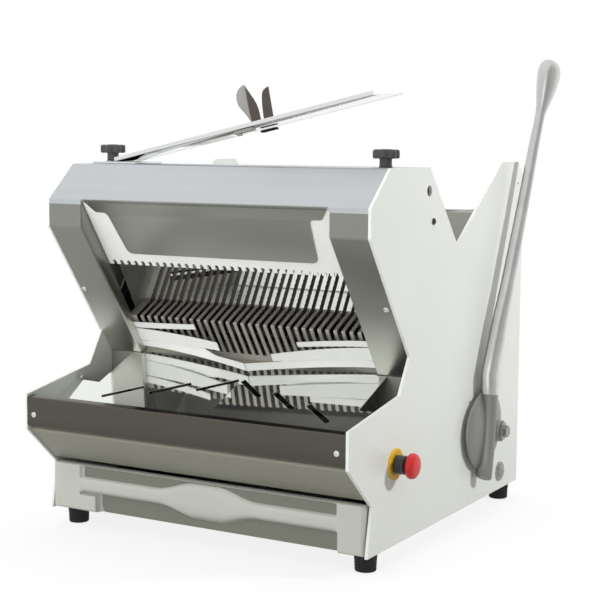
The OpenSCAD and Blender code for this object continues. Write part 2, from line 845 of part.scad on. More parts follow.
module front_hood() {
    color("lightgray") difference() {
        union() {
            slab(strip([[saddle_front_y, front_top_z], [crown_y, front_top_z], [0, brow_high_z]], sheet_t),
                -inner_x, inner_x);
            at_guard() flap();
            both_sides() {
                slab(strip([[0, brow_high_z], [0, brow_low_z], [leg_foot_y, leg_foot_z]], sheet_t),
                    leg_in_x, inner_x);
                slab([[0, brow_high_z], [0, brow_low_z], [leg_foot_y, leg_foot_z],
                    [lean_y(leg_foot_z), leg_foot_z]], leg_in_x, leg_in_x + sheet_t);
            }
        }
        both_sides() rod_z(stud_r + play, front_top_z - sheet_t - cut, front_top_z + cut, knob_x, knob_y);
    }
}

module hood_back_plate() {
    fall = unit([saddle_y - saddle_flat / 2 - saddle_front_y, saddle_z - front_top_z]);
    top = [saddle_front_y - sheet_t, front_top_z - sheet_t];
    color("lightgray") slab(strip([top + fall * back_plate_len, top, top - [back_flange, 0]], sheet_t),
        -inner_x, inner_x);
}

module upper_guard() {
    half_w = leg_in_x;
    color("white") at_guard() difference() {
        plate_xz([[-half_w, -sheet_t], [-half_w, -guard_len], [half_w, -guard_len], [half_w, -sheet_t]],
            sheet_t, sheet_t + guard_t);
        for (i = [-blade_side_count:blade_side_count]) translate([blade_x(i), 0, -guard_len]) {
            box(-guard_slot_w / 2, guard_slot_w / 2, sheet_t - cut, sheet_t + guard_t + cut, -cut,
                guard_slot_len - guard_slot_w / 2);
            rod_y(guard_slot_w / 2, sheet_t - cut, sheet_t + guard_t + cut, 0, guard_slot_len - guard_slot_w / 2);
        }
    }
}

module front_apron() {
    low = apron_low_z + apron_lift;
    high = apron_high_z - apron_drop;
    color("dimgray") slab(strip([[-apron_reach + apron_return, high + apron_rise], [-apron_reach, high],
        [-apron_reach, low], [-apron_reach + apron_return, low]], sheet_t), -inner_x, inner_x);
}

module lower_front_panel() {
    top = apron_low_z + apron_lift;
    front = -apron_reach + slope_setback;
    color("white") slab(strip([[front + apron_return, top], [front, top], [slope_low_y, slope_low_z],
        [slope_low_y + slope_flange, slope_low_z]], sheet_t), -inner_x, inner_x);
}

module chute_posts() {
    color("gray") both_sides() box(leg_in_x, inner_x, leg_foot_y, leg_foot_y + post_depth, post_low_z, leg_foot_z);
}

module table_half() {
    reach = body_w;
    difference() {
        rotate([0, -table_fold, 0]) translate([0, 0, table_z]) rotate([table_slope, 0, 0])
            difference() {
                box(0, reach, -reach, reach, -sheet_t, 0);
                for (i = [0:2]) translate([table_slot_x + i * table_slot_dx,
                    (table_slot_y - i * table_slot_dy) / cos(table_slope), 0])
                    rotate([0, 0, -table_slot_turn]) {
                        box(-table_slot_len / 2, table_slot_len / 2, -table_slot_w / 2, table_slot_w / 2,
                            -sheet_t - cut, cut);
                    }
            }
        box(-reach, 0, -2 * reach, 2 * reach, -reach, 2 * reach);
        box(inner_x, 2 * reach, -2 * reach, 2 * reach, -reach, 2 * reach);
        box(-reach, 2 * reach, -2 * reach, -apron_reach + apron_return, -reach, 2 * reach);
        box(table_rear_x, 2 * reach, table_notch_y, 2 * reach, -reach, 2 * reach);
        box(leg_in_x - cut, 2 * reach, leg_foot_y - cut, 2 * reach, -reach, 2 * reach);
        at_guard() box(-reach, 2 * reach, 0, 2 * reach, -2 * reach, reach);
    }
}

module outfeed_table() {
    color("silver") union() {
        table_half();
        mirror([1, 0, 0]) table_half();
    }
}

module lower_comb() {
    color("silver") difference() {
        slab(strip([[comb_rear_y, bed_z], [comb_crest_y, bed_z], [nose_y, comb_nose_z], [comb_low_y, comb_low_z]],
            sheet_t), -cheek_out_x, cheek_out_x);
        for (i = [-blade_side_count:blade_side_count])
            box(blade_x(i) - comb_slot_w / 2, blade_x(i) + comb_slot_w / 2, nose_y - apron_reach,
                comb_rear_y - comb_slot_rear, comb_slot_z, bed_z + cut);
    }
}

module infeed_bed() {
    color("silver") box(-cheek_out_x, cheek_out_x, comb_rear_y, back_in_y, bed_z - sheet_t, bed_z);
}

module cheek_shape() {
    comb_share = (bed_z - comb_nose_z) / (comb_crest_y - nose_y);
    low_z = comb_nose_z + (cheek_low_y - nose_y) * comb_share;
    rear_share = (rear_top_z - saddle_z) / (rear_crown_y - saddle_y - saddle_flat / 2);
    dip_z = saddle_z - cheek_drop;
    rise_y = saddle_y + saddle_flat / 2 + (cheek_rear_z - dip_z) / rear_share;
    end_y = body_d - cheek_end;
    front_y = saddle_y - saddle_flat / 2 - cheek_step;
    slot_front = pusher_y - pusher_travel + crossbar_y - crossbar_w;
    slot_rear = pusher_y + crossbar_y + crossbar_w;
    difference() {
        union() {
            slab([[cheek_low_y, low_z], [cheek_high_y, cheek_nose_z], [cheek_high_y, cheek_front_z],
                [front_y, cheek_front_z], [saddle_y, dip_z], [rise_y, cheek_rear_z], [end_y, cheek_rear_z],
                [end_y, bed_z], [comb_crest_y, bed_z]], cheek_x, cheek_out_x);
            slab(strip([[saddle_y, dip_z], [rise_y, cheek_rear_z], [end_y, cheek_rear_z]], -sheet_t),
                cheek_x, inner_x);
        }
        box(cheek_x - cut, cheek_out_x + cut, slot_front, slot_rear, rail_z - crossbar_w / 2 - pusher_gap,
            rail_z + crossbar_w / 2 + pusher_gap);
    }
}

module left_cheek() {
    color("silver") mirror([1, 0, 0]) cheek_shape();
}

module right_cheek() {
    color("silver") cheek_shape();
}

module pusher_rails() {
    color("silver") both_sides() rod_y(rail_r, rail_front_y, back_in_y, rail_x, rail_z);
}

module rail_bracket(y0, y1) {
    difference() {
        box(cheek_out_x, cheek_out_x + rail_bracket_w, y0, y1, rail_z - rail_bracket_h / 2,
            rail_z + rail_bracket_h / 2);
        rod_y(rail_r + play, y0 - cut, y1 + cut, rail_x, rail_z);
    }
}

module rail_brackets() {
    color("gray") both_sides() {
        rail_bracket(rail_front_y, rail_front_y + rail_bracket_t);
        rail_bracket(back_in_y - rail_bracket_t, back_in_y);
    }
}

module frame_guide_rods() {
    color("silver") both_sides() at_blades() {
        rod_z(rod_r, -front_guide_drop - bracket_gap - bracket_t, bracket_high + bracket_t, front_rod_x, front_rod_y);
        rod_z(rod_r, rear_guide_low - bracket_gap - bracket_t, bracket_high + bracket_t, rear_rod_x, rear_rod_y);
    }
}

module guide_bracket(x, y, z, inner) {
    difference() {
        box(inner, inner_x, y - bracket_d / 2, y + bracket_d / 2, z, z + bracket_t);
        rod_z(rod_r + play, z - cut, z + bracket_t + cut, x, y);
    }
}

module guide_brackets() {
    front_in = front_rod_x - bracket_d / 2;
    rear_in = rear_rod_x - bracket_d / 2;
    color("gray") both_sides() at_blades() {
        guide_bracket(front_rod_x, front_rod_y, bracket_high, front_in);
        guide_bracket(front_rod_x, front_rod_y, -front_guide_drop - bracket_gap - bracket_t, front_in);
        guide_bracket(rear_rod_x, rear_rod_y, bracket_high, rear_in);
        guide_bracket(rear_rod_x, rear_rod_y, rear_guide_low - bracket_gap - bracket_t, rear_in);
    }
}

module lever_bushes() {
    color("goldenrod") both_sides() difference() {
        union() {
            rod_x(bush_r, inner_x, outer_x, pivot_y, pivot_z);
            rod_x(bush_flange_r, inner_x - bush_flange_t, inner_x, pivot_y, pivot_z);
        }
        rod_x(shaft_r + play, inner_x - bush_flange_t - cut, outer_x + cut, pivot_y, pivot_z);
    }
}

module crank_bearings() {
    x0 = cheek_x - bearing_inset;
    color("dimgray") both_sides() difference() {
        union() {
            box(x0, x0 + bearing_t, crank_y - bearing_half_w, crank_y + bearing_half_w, base_t, crank_z);
            rod_x(bearing_half_w, x0, x0 + bearing_t, crank_y, crank_z);
        }
        rod_x(crank_r + play, x0 - cut, x0 + bearing_t + cut, crank_y, crank_z);
    }
}

module motor() {
    foot_z = base_t + motor_bracket_t;
    color("steelblue") union() {
        rod_x(motor_r, motor_x, motor_x + motor_len, motor_y, motor_z);
        for (s = [-1, 1])
            box(motor_x + motor_foot_w, motor_x + motor_len - motor_foot_w, motor_y + s * motor_foot_y
                - motor_foot_w / 2, motor_y + s * motor_foot_y + motor_foot_w / 2, foot_z, motor_z);
        box(motor_x + motor_len / 2 - motor_box / 2, motor_x + motor_len / 2 + motor_box / 2,
            motor_y - motor_box / 2, motor_y + motor_box / 2, motor_z, motor_z + motor_r + motor_box_h);
    }
}

module motor_bracket() {
    half = motor_foot_y + motor_foot_w / 2 + motor_bracket_rim;
    color("gray") box(motor_x + motor_bracket_rim, motor_x + motor_len - motor_bracket_rim, motor_y - half,
        motor_y + half, base_t, base_t + motor_bracket_t);
}

module belt_loop(grow, x0, x1) {
    hull() {
        rod_x(pulley_r - groove + grow, x0, x1, crank_y, crank_z);
        rod_x(small_pulley_r - groove + grow, x0, x1, motor_y, motor_z);
    }
}

module drive_belt() {
    x0 = -pulley_x - pulley_w + flange_w + belt_gap;
    x1 = -pulley_x - flange_w - belt_gap;
    color("black") difference() {
        belt_loop(belt_gap + belt_t, x0, x1);
        belt_loop(belt_gap, x0 - cut, x1 + cut);
    }
}

module pulley(r, y, z, bore) {
    x0 = -pulley_x - pulley_w;
    x1 = -pulley_x;
    difference() {
        union() {
            rod_x(r - groove, x0, x1, y, z);
            rod_x(r, x0, x0 + flange_w, y, z);
            rod_x(r, x1 - flange_w, x1, y, z);
        }
        if (bore > 0) rod_x(bore, x0 - cut, x1 + cut, y, z);
    }
}

module drawer_runners() {
    color("gray") both_sides() union() {
        box(runner_x - runner_ledge, runner_x + runner_t, base_front_y + drawer_gap, tray_y + tray_d, base_t,
            base_t + drawer_gap);
        box(runner_x, runner_x + runner_t, base_front_y + drawer_gap, tray_y + tray_d, base_t, base_t + runner_h);
    }
}

module feet() {
    x = inner_x - foot_inset;
    color("black") both_sides() {
        rod_z(foot_r, -foot_h, 0, x, foot_front_y);
        rod_z(foot_r, -foot_h, 0, x, body_d - foot_rear_inset);
    }
}

module estop_plate() {
    color("yellow") difference() {
        rod_x(stop_plate_r, outer_x, outer_x + stop_plate_t, stop_y, stop_z);
        rod_x(stop_neck_r + play, outer_x - cut, outer_x + stop_plate_t + cut, stop_y, stop_z);
    }
}

module estop_collar() {
    x0 = outer_x + stop_plate_t;
    color("black") difference() {
        union() {
            rod_x(stop_neck_r, inner_x - panel_t, x0, stop_y, stop_z);
            rod_x(stop_collar_r, x0, x0 + stop_collar_len, stop_y, stop_z);
        }
        rod_x(stop_stem_r + play, x0 + stop_collar_len - stop_stem_len - stop_travel - cut,
            x0 + stop_collar_len + cut, stop_y, stop_z);
    }
}

module estop_contact_block() {
    x1 = inner_x - panel_t;
    color("dimgray") box(x1 - stop_block_len, x1, stop_y - stop_block / 2, stop_y + stop_block / 2,
        stop_z - stop_block / 2, stop_z + stop_block / 2);
}

module estop_button() {
    x0 = outer_x + stop_plate_t + stop_collar_len;
    x1 = x0 + stop_gap;
    color("red") translate([0, stop_y, stop_z]) rotate([0, 90, 0]) union() {
        translate([0, 0, x0 - stop_stem_len]) cylinder(r = stop_stem_r, h = stop_stem_len + stop_gap + cut);
        translate([0, 0, x1]) cylinder(r = stop_head_r, h = stop_head_len - stop_head_round);
        translate([0, 0, x1 + stop_head_len - stop_head_round])
            cylinder(r1 = stop_head_r, r2 = stop_head_r - stop_head_round, h = stop_head_round);
    }
}

module knob_studs() {
    z0 = front_top_z - sheet_t;
    color("silver") both_sides() union() {
        rod_z(stud_head_r, z0 - stud_head_h, z0, knob_x, knob_y);
        rod_z(stud_r, z0 - stud_head_h, front_top_z + stud_h, knob_x, knob_y);
    }
}

module knob(z0) {
    z1 = z0 + knob_stem_h;
    difference() {
        union() {
            cylinder_at(knob_stem_r, z0, z1 + cut);
            cylinder_at(knob_r, z1, z1 + knob_h);
        }
        cylinder_at(stud_r + play, z0 - cut, front_top_z + stud_h + cut);
        for (i = [1:knob_hollows]) rotate([0, 0, i * 360 / knob_hollows])
            translate([knob_r + knob_hollow_out, 0, 0]) cylinder_at(knob_hollow_r, z1 - cut, z1 + knob_h + cut);
    }
}

module cylinder_at(r, z0, z1) {
    translate([0, 0, z0]) cylinder(r = r, h = z1 - z0);
}

module left_knob() {
    color("black") translate([-knob_x, knob_y, 0]) knob(front_top_z + shovel_foot_t + shovel_lift);
}

module right_knob() {
    color("black") translate([knob_x, knob_y, 0]) knob(front_top_z);
}

module at_shovel() {
    translate([-knob_x - shovel_foot_out + shovel_fold, shovel_y, front_top_z + shovel_foot_t / 2 - sheet_t / 2])
        rotate([0, -shovel_rise, 0]) children();
}

module shovel_foot() {
    x0 = -knob_x - shovel_foot_out;
    low = front_top_z;
    high = front_top_z + shovel_foot_t;
    color("silver") difference() {
        box(x0, x0 + shovel_foot_len, shovel_y, shovel_y + shovel_d, low, high);
        rod_z(stud_r + play, low - cut, high + cut, -knob_x, knob_y);
    }
}

module shovel_plate() {
    high = front_top_z + shovel_foot_t;
    fold = [-knob_x - shovel_foot_out + shovel_fold, front_top_z + shovel_foot_t / 2 - sheet_t / 2];
    along = [cos(shovel_rise), sin(shovel_rise)];
    thick = turn_left(along) * sheet_t;
    under = (high - fold[1]) / along[1];
    over = (high - fold[1] - thick[1]) / along[1];
    color("silver") plate_xz([fold + under * along, fold + shovel_len * along, fold + shovel_len * along + thick,
        fold + over * along + thick], shovel_y, shovel_y + shovel_d);
}

module ear_leaf(lean, x) {
    translate([x, 0, ear_t / 2]) rotate([0, lean, 0]) {
        box(0, ear_t, -ear_neck_w / 2, ear_neck_w / 2, 0, ear_h - ear_w / 2);
        translate([0, 0, ear_h - ear_w / 2]) rod_x(ear_w / 2, 0, ear_t, 0, 0);
    }
}

module ear_foot_plate() {
    box(0, ear_foot, -ear_w / 2, ear_w / 2, 0, ear_t);
}

module bag_ears() {
    color("gray") at_shovel() translate([ear_x, ear_y, sheet_t]) {
        union() {
            ear_leaf(-ear_lean, ear_t);
            ear_leaf(ear_lean, ear_t / 2);
            ear_foot_plate();
        }
        translate([ear_step, 0, 0]) union() {
            ear_leaf(ear_lean, ear_t / 2);
            ear_foot_plate();
        }
    }
}

module screw_head() {
    translate([0, 0, 0]) cylinder(r = screw_r, h = screw_h);
}

module cover_screws() {
    hood_y = (brow_low_z - hood_screw_z) * leg_fall_share;
    color("silver") {
        both_sides() {
            translate([inner_x - hood_screw_in, hood_y, hood_screw_z]) rotate([90 + leg_tilt, 0, 0]) screw_head();
            translate([inner_x - apron_screw_in, -apron_reach, apron_screw_z]) rotate([90, 0, 0]) screw_head();
        }
        for (i = [0, 1]) translate([-inner_x, inner_screw_y, inner_screw_z + i * inner_screw_step])
            rotate([0, 90, 0]) screw_head();
        translate([outer_x, outer_screw_y, outer_screw_z]) rotate([0, 90, 0]) screw_head();
    }
}

module panel_bolts() {
    color("silver") union() {
        rod_x(bolt_washer_r, outer_x, outer_x + washer_t, bolt_y, bolt_z);
        rod_x(bolt_r, outer_x, outer_x + washer_t + bolt_h, bolt_y, bolt_z);
    }
}

module cable_gland() {
    color("black") difference() {
        union() {
            rod_y(gland_r, body_d, body_d + gland_len, -gland_x, gland_z);
            rod_y(gland_r, back_in_y - gland_len, back_in_y, -gland_x, gland_z);
            rod_y(gland_bore_r, back_in_y - cut, body_d + cut, -gland_x, gland_z);
        }
        rod_y(gland_bore_r / 2, back_in_y - gland_len - cut, body_d + gland_len + cut, -gland_x, gland_z);
    }
}

module at_bar() {
    translate([hub_x + hub_t / 2, pivot_y - bar_fore, pivot_z - bar_drop]) rotate([-bar_lean, bar_splay, 0])
        children();
}

module grip() {
    hull() {
        sphere(r = bar_top_r, $fn = 24);
        for (s = [-1, 1]) translate([0, s * (grip_half_w - grip_half_t), grip_len - grip_half_w])
            sphere(r = grip_half_t, $fn = 24);
        translate([0, 0, grip_len - grip_half_t]) sphere(r = grip_half_t, $fn = 24);
    }
}

module lever() {
    x1 = hub_x + hub_t;
    offset_y = hub_arc_r - hub_half_w;
    mid_y = pivot_y - hub_fore;
    color("silver") difference() {
        union() {
            intersection() {
                rod_x(hub_arc_r, hub_x, x1, mid_y - offset_y, pivot_z);
                rod_x(hub_arc_r, hub_x, x1, mid_y + offset_y, pivot_z);
            }
            rod_x(hub_boss_r, hub_x, x1 + hub_boss_t, pivot_y, pivot_z);
            at_bar() {
                cylinder(r1 = bar_foot_r, r2 = bar_top_r, h = bar_len);
                cylinder(r = bar_collar_r, h = bar_collar_len);
                translate([0, 0, bar_len]) grip();
            }
        }
        rod_x(shaft_r + play, hub_x - cut, x1 + hub_boss_t + cut, pivot_y, pivot_z);
    }
}

module lever_bolt() {
    x0 = hub_x + hub_t + hub_boss_t;
    color("silver") union() {
        rod_x(washer_r, x0, x0 + washer_t, pivot_y, pivot_z);
        translate([x0, pivot_y, pivot_z]) rotate([0, 90, 0]) cylinder(r = hex_r, h = washer_t + hex_h, $fn = 6);
        rod_x(shank_r, x0 - shank_len, x0 + washer_t, pivot_y, pivot_z);
    }
}

module lever_shaft() {
    x1 = hub_x + hub_t + hub_boss_t;
    color("silver") difference() {
        rod_x(shaft_r, -outer_x, x1, pivot_y, pivot_z);
        rod_x(shank_r + play, x1 - shank_len - cut, x1 + cut, pivot_y, pivot_z);
    }
}

module lever_arms() {
    color("gray") both_sides() difference() {
        union() {
            rod_x(arm_hub_r, arm_x, arm_x + arm_t, pivot_y, pivot_z);
            rod_x(arm_eye_r, arm_x, arm_x + arm_t, roller_y, roller_z);
            translate([0, pivot_y, pivot_z]) rotate([-arm_lean, 0, 0])
                box(arm_x, arm_x + arm_t, -arm_w / 2, arm_w / 2, 0, arm_len);
            rod_x(roller_pin_r, fork_x, arm_x + arm_t, roller_y, roller_z);
        }
        rod_x(shaft_r + play, arm_x - cut, arm_x + arm_t + cut, pivot_y, pivot_z);
    }
}

module arm_rollers() {
    color("white") both_sides() difference() {
        rod_x(roller_r, fork_x, arm_x, roller_y, roller_z);
        rod_x(roller_pin_r + play, fork_x - cut, arm_x + cut, roller_y, roller_z);
    }
}

module pusher_plate() {
    z0 = bed_z + pusher_gap;
    low_z = rail_z - crossbar_w / 2;
    high_z = rail_z + crossbar_w / 2;
    fall_share = tan(blade_lean);
    back_y = pusher_y + crossbar_y - crossbar_w / 2;
    color("white") union() {
        translate([0, pusher_y, z0]) rotate([-blade_lean, 0, 0])
            box(-pusher_half_w, pusher_half_w, 0, pusher_t, 0, pusher_len);
        for (i = [-1:1]) slab([[pusher_y + (low_z - z0) * fall_share + pusher_t / 2, low_z], [back_y, low_z],
            [back_y, high_z], [pusher_y + (high_z - z0) * fall_share + pusher_t / 2, high_z]],
            i * rib_step - rib_t / 2, i * rib_step + rib_t / 2);
    }
}

module pusher_crossbar() {
    x1 = rail_x - slider_half_w;
    color("silver") box(-x1, x1, pusher_y + crossbar_y - crossbar_w / 2, pusher_y + crossbar_y + crossbar_w / 2,
        rail_z - crossbar_w / 2, rail_z + crossbar_w / 2);
}

module pusher_blocks() {
    y0 = pusher_y + slider_y;
    fork_mid = pusher_y + fork_y;
    fork_half = roller_r + fork_gap + fork_t;
    top = fork_high_z + fork_head;
    color("dimgray") both_sides() difference() {
        union() {
            box(rail_x - slider_half_w, rail_x + slider_half_w, y0, y0 + slider_len, rail_z - slider_h / 2,
                rail_z + slider_h / 2);
            box(rail_x - slider_half_w, rail_x, fork_mid - slider_half_w, y0 + slider_len, rail_z, top);
            box(rail_x - slider_half_w, fork_x + fork_w, fork_mid - fork_half, fork_mid + fork_half, fork_high_z, top);
            for (s = [-1, 1])
                box(fork_x, fork_x + fork_w, fork_mid + s * (fork_half - fork_t / 2) - fork_t / 2,
                    fork_mid + s * (fork_half - fork_t / 2) + fork_t / 2, fork_low_z, top);
        }
        rod_y(rail_r + play, y0 - cut, y0 + slider_len + cut, rail_x, rail_z);
    }
}

module guide_block(x0, y, z0) {
    box(x0, x0 + guide_w, y - guide_d / 2, y + guide_d / 2, z0, z0 + guide_h);
}

module drop_arm(x0, head) {
    slab(concat(head, [[crank_y + drop_half_w, drop_bend_z], [crank_y + drop_half_w, crank_z],
        [crank_y - drop_half_w, crank_z], [crank_y - drop_half_w, drop_bend_z]]), x0, x0 + frame_rail_t);
    rod_x(strap_r + strap_wall, x0, x0 + frame_rail_t, crank_y, crank_z);
}

module strap_bore(x0) {
    rod_x(strap_r, x0 - cut, x0 + frame_rail_t + cut, crank_y, crank_z);
}

function at_lean(y, z) = [blade_foot_y + y * cos(blade_lean) + z * sin(blade_lean),
    blade_foot_z - y * sin(blade_lean) + z * cos(blade_lean)];

module front_blade_frame() {
    half = front_rail_x;
    low = -front_bar_drop - front_bar_h;
    foot_y = front_foot_d - front_rail_y - front_rail_d;
    color("silver") difference() {
        union() {
            at_blades() {
                difference() {
                    box(-half, half, bar_gap, bar_gap + bar_d, low, -front_bar_drop);
                    for (i = [-blade_side_count + 1:2:blade_side_count - 1])
                        box(blade_x(i) - front_slot_w / 2, blade_x(i) + front_slot_w / 2, bar_gap - cut,
                            bar_gap + bar_d + cut, low - cut, -front_slot_drop);
                }
                for (i = [-blade_side_count:2:blade_side_count])
                    box(blade_x(i) - holder_w / 2, blade_x(i) + holder_w / 2, -blade_w / 2, bar_gap + cut,
                        -front_drop - holder_h, -front_drop);
            }
            both_sides() {
                at_blades() {
                    box(half, half + frame_rail_t, -front_rail_y - front_rail_d, -front_rail_y, low,
                        blade_rise + upper_bar_h);
                    box(half, half + frame_rail_t, -front_rail_y - front_rail_d, foot_y, low, 0);
                    guide_block(half + frame_rail_t, front_rod_y, guide_high);
                    guide_block(half + frame_rail_t, front_rod_y, -front_guide_drop);
                }
                drop_arm(half, [at_lean(0, -front_bar_h), at_lean(foot_y, -front_arm_drop)]);
            }
        }
        both_sides() {
            strap_bore(half);
            at_blades() rod_z(rod_r + play, low, blade_rise, front_rod_x, front_rod_y);
        }
    }
}

module rear_blade_frame() {
    half = rear_rail_x;
    low = -rear_bar_drop - rear_bar_h;
    color("silver") difference() {
        union() {
            at_blades() {
                box(-half, half, rear_bar_y, rear_bar_y + bar_d, low, -rear_bar_drop);
                for (i = [-blade_side_count + 1:2:blade_side_count - 1])
                    box(blade_x(i) - holder_w / 2, blade_x(i) + holder_w / 2, -blade_w / 2, rear_bar_y + cut,
                        -rear_drop - holder_h, -rear_drop);
            }
            both_sides() {
                at_blades() {
                    box(half, half + frame_rail_t, rear_bar_y, rear_bar_y + bar_d, low, blade_rise + upper_bar_h);
                    box(half, half + frame_rail_t, bar_gap, bar_gap + rear_head_d,
                        blade_rise + upper_bar_h - rear_head_h, blade_rise + upper_bar_h);
                    guide_block(half + frame_rail_t, rear_rod_y, guide_high);
                    guide_block(half + frame_rail_t, rear_rod_y, rear_guide_low);
                }
                drop_arm(half, [at_lean(rear_bar_y, low), at_lean(rear_bar_y + bar_d, -rear_bar_drop)]);
            }
        }
        both_sides() {
            strap_bore(half);
            at_blades() rod_z(rod_r + play, low - guide_h, blade_rise, rear_rod_x, rear_rod_y);
        }
    }
}

module front_upper_bar() {
    color("silver") at_blades() box(-front_rail_x, front_rail_x, -upper_bar_gap - bar_d, -upper_bar_gap,
        blade_rise, blade_rise + upper_bar_h);
}

module rear_upper_bar() {
    color("silver") at_blades() box(-rear_rail_x, rear_rail_x, upper_bar_gap, upper_bar_gap + bar_d,
        blade_rise, blade_rise + upper_bar_h);
}

module blade(i, shift, drop) {
    box(blade_x(i) - blade_t / 2, blade_x(i) + blade_t / 2, shift - blade_w / 2, shift + blade_w / 2, -drop,
        blade_rise + blade_grip);
}

module front_blades() {
    color("gainsboro") at_blades()
        for (i = [-blade_side_count:2:blade_side_count]) blade(i, -blade_shift, front_drop);
}

module rear_blades() {
    color("gainsboro") at_blades()
        for (i = [-blade_side_count + 1:2:blade_side_count - 1]) blade(i, blade_shift, rear_drop);
}

module eccentric(x0, throw) {
    rod_x(eccentric_r, x0 + eccentric_inset, x0 + frame_rail_t - eccentric_inset, crank_y + throw, crank_z);
}

module crankshaft() {
    color("silver") union() {
        rod_x(crank_r, -pulley_x - pulley_w, front_rail_x + frame_rail_t, crank_y, crank_z);
        both_sides() {
            eccentric(front_rail_x, stroke);
            eccentric(rear_rail_x, -stroke);
        }
    }
}

module crank_pulley() {
    color("dimgray") pulley(pulley_r, crank_y, crank_z, crank_r + play);
}

module motor_pulley() {
    color("dimgray") union() {
        pulley(small_pulley_r, motor_y, motor_z, 0);
        rod_x(motor_shaft_r, -pulley_x - cut, motor_x, motor_y, motor_z);
    }
}

module crumb_tray() {
    color("silver") difference() {
        box(-tray_half_w, tray_half_w, tray_y, tray_y + tray_d, tray_z, tray_z + tray_h);
        box(-tray_half_w + tray_t, tray_half_w - tray_t, tray_y + tray_t, tray_y + tray_d - tray_t, tray_z + tray_t,
            tray_z + tray_h + cut);
    }
}

module drawer_front() {
    half = inner_x - drawer_gap;
    color("whitesmoke") union() {
        box(-half, half, drawer_plate_y, tray_y, drawer_gap, drawer_h);
        box(-half, half, 0, tray_y, drawer_h - drawer_lip, drawer_h);
        both_sides() box(half - drawer_post_w, half, 0, tray_y, drawer_gap, drawer_h);
        plate_xz([[-half, band_low_z], [-band_swell_x, band_low_z], [-band_mid_x, band_mid_low_z],
            [band_mid_x, band_mid_low_z], [band_swell_x, band_low_z], [half, band_low_z], [half, band_high_z],
            [band_swell_x, band_high_z], [band_mid_x, band_mid_high_z], [-band_mid_x, band_mid_high_z],
            [-band_swell_x, band_high_z], [-half, band_high_z]], 0, tray_y);
    }
}

at_machine() {
    left_side_panel();
    right_side_panel();
    base_plate();
    rear_cover();
    front_hood();
    hood_back_plate();
    upper_guard();
    front_apron();
    lower_front_panel();
    chute_posts();
    outfeed_table();
    lower_comb();
    infeed_bed();
    left_cheek();
    right_cheek();
    pusher_rails();
    rail_brackets();
    frame_guide_rods();
    guide_brackets();
    lever_bushes();
    crank_bearings();
    motor();
    motor_bracket();
    drive_belt();
    drawer_runners();
    feet();
    estop_plate();
    estop_collar();
    estop_contact_block();
    knob_studs();
    cover_screws();
    panel_bolts();
    cable_gland();
    lever();
    lever_bolt();
    lever_shaft();
    lever_arms();
    arm_rollers();
    pusher_plate();
    pusher_crossbar();
    pusher_blocks();
    front_blade_frame();
    front_upper_bar();
    front_blades();
    rear_blade_frame();
    rear_upper_bar();
    rear_blades();
    crankshaft();
    crank_pulley();
    motor_pulley();
    crumb_tray();
    drawer_front();
    estop_button();
    left_knob();
    right_knob();
    shovel_foot();
    shovel_plate();
    bag_ears();
}
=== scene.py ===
"""Looks of a table-top bread slicer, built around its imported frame."""
import math

import bmesh
import bpy
from bpy.props import FloatProperty, FloatVectorProperty, IntProperty, PointerProperty
from mathutils import Matrix, Vector


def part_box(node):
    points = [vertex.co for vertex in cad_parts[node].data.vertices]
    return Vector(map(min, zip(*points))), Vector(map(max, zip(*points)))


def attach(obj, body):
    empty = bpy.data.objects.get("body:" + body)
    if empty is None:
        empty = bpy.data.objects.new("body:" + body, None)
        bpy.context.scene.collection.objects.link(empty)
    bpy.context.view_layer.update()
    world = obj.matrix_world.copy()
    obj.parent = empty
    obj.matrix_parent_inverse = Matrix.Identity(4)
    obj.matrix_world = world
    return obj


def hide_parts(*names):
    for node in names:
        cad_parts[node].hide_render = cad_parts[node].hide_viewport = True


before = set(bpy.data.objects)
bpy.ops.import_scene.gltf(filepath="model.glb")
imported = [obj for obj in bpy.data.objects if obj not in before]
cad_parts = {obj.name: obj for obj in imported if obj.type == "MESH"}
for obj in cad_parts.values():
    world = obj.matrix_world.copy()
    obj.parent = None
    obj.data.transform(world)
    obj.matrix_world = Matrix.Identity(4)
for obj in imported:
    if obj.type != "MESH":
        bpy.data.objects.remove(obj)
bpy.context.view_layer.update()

bl_info = {
    "name": "Bread slicer looks",
    "version": (1, 0, 0),
    "blender": (4, 5, 0),
    "location": "3D View > Sidebar > Slicer",
    "description": "Builds the finished pieces and finishes of a table-top bread slicer",
    "category": "Object",
}

# Places, in millimetres from the middle plane, the fold of the hood and the foot of the side panels

MM = 0.001
OUTER, INNER = 310, 305  # faces of the side panels
CROWN, FOLD = 595, 536  # heights of the hood's top and of its fold
FLAP_HALF = 237.5  # half of the flap's width at the fold
APRON_FRONT = -64
PITCH = 15  # from blade to blade
STOP_SPOT = (92, 131.6)  # depth and height of the emergency stop
KNOB_DEPTH = 130
DRAWER_WIDE, DRAWER_TALL, DRAWER_FOOT = 606, 80, 2
DRAWER_LEFT, DRAWER_RIGHT = -206, 253  # ends of the hollow under the handle
SHEET = 2  # thickness of the folded sheets
SHARP = 38  # angle in degrees from which an edge is sharp

PANEL_LOW, PANEL_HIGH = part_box("right_side_panel")
APRON_LOW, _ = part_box("front_apron")
ORIGIN = Vector((PANEL_HIGH.x - OUTER * MM, APRON_LOW.y - APRON_FRONT * MM, PANEL_LOW.z))
MACHINE = Matrix.Translation(ORIGIN) @ Matrix.Scale(MM, 4)

# The photograph's camera: lens in millimetres, angles in degrees
LENS, SENSOR = 85.57, 36
CAMERA_ANGLES = (29.966, 6.265, 0.352)
CAMERA_SPOT = (1278.9, -1891.0, 631.9)


def tilted(spot, angle, axis):
    """A place whose own axes are turned by an angle in degrees."""
    return Matrix.Translation(spot) @ Matrix.Rotation(math.radians(angle), 4, axis)


GUARD_LEAN = 34.2
GUARD = tilted((0, 0, FOLD), GUARD_LEAN, "X")
BLADES = tilted((0, 186, 350), -30, "X")
SHOVEL = tilted((-244, 90, 596), -12.2, "Y")


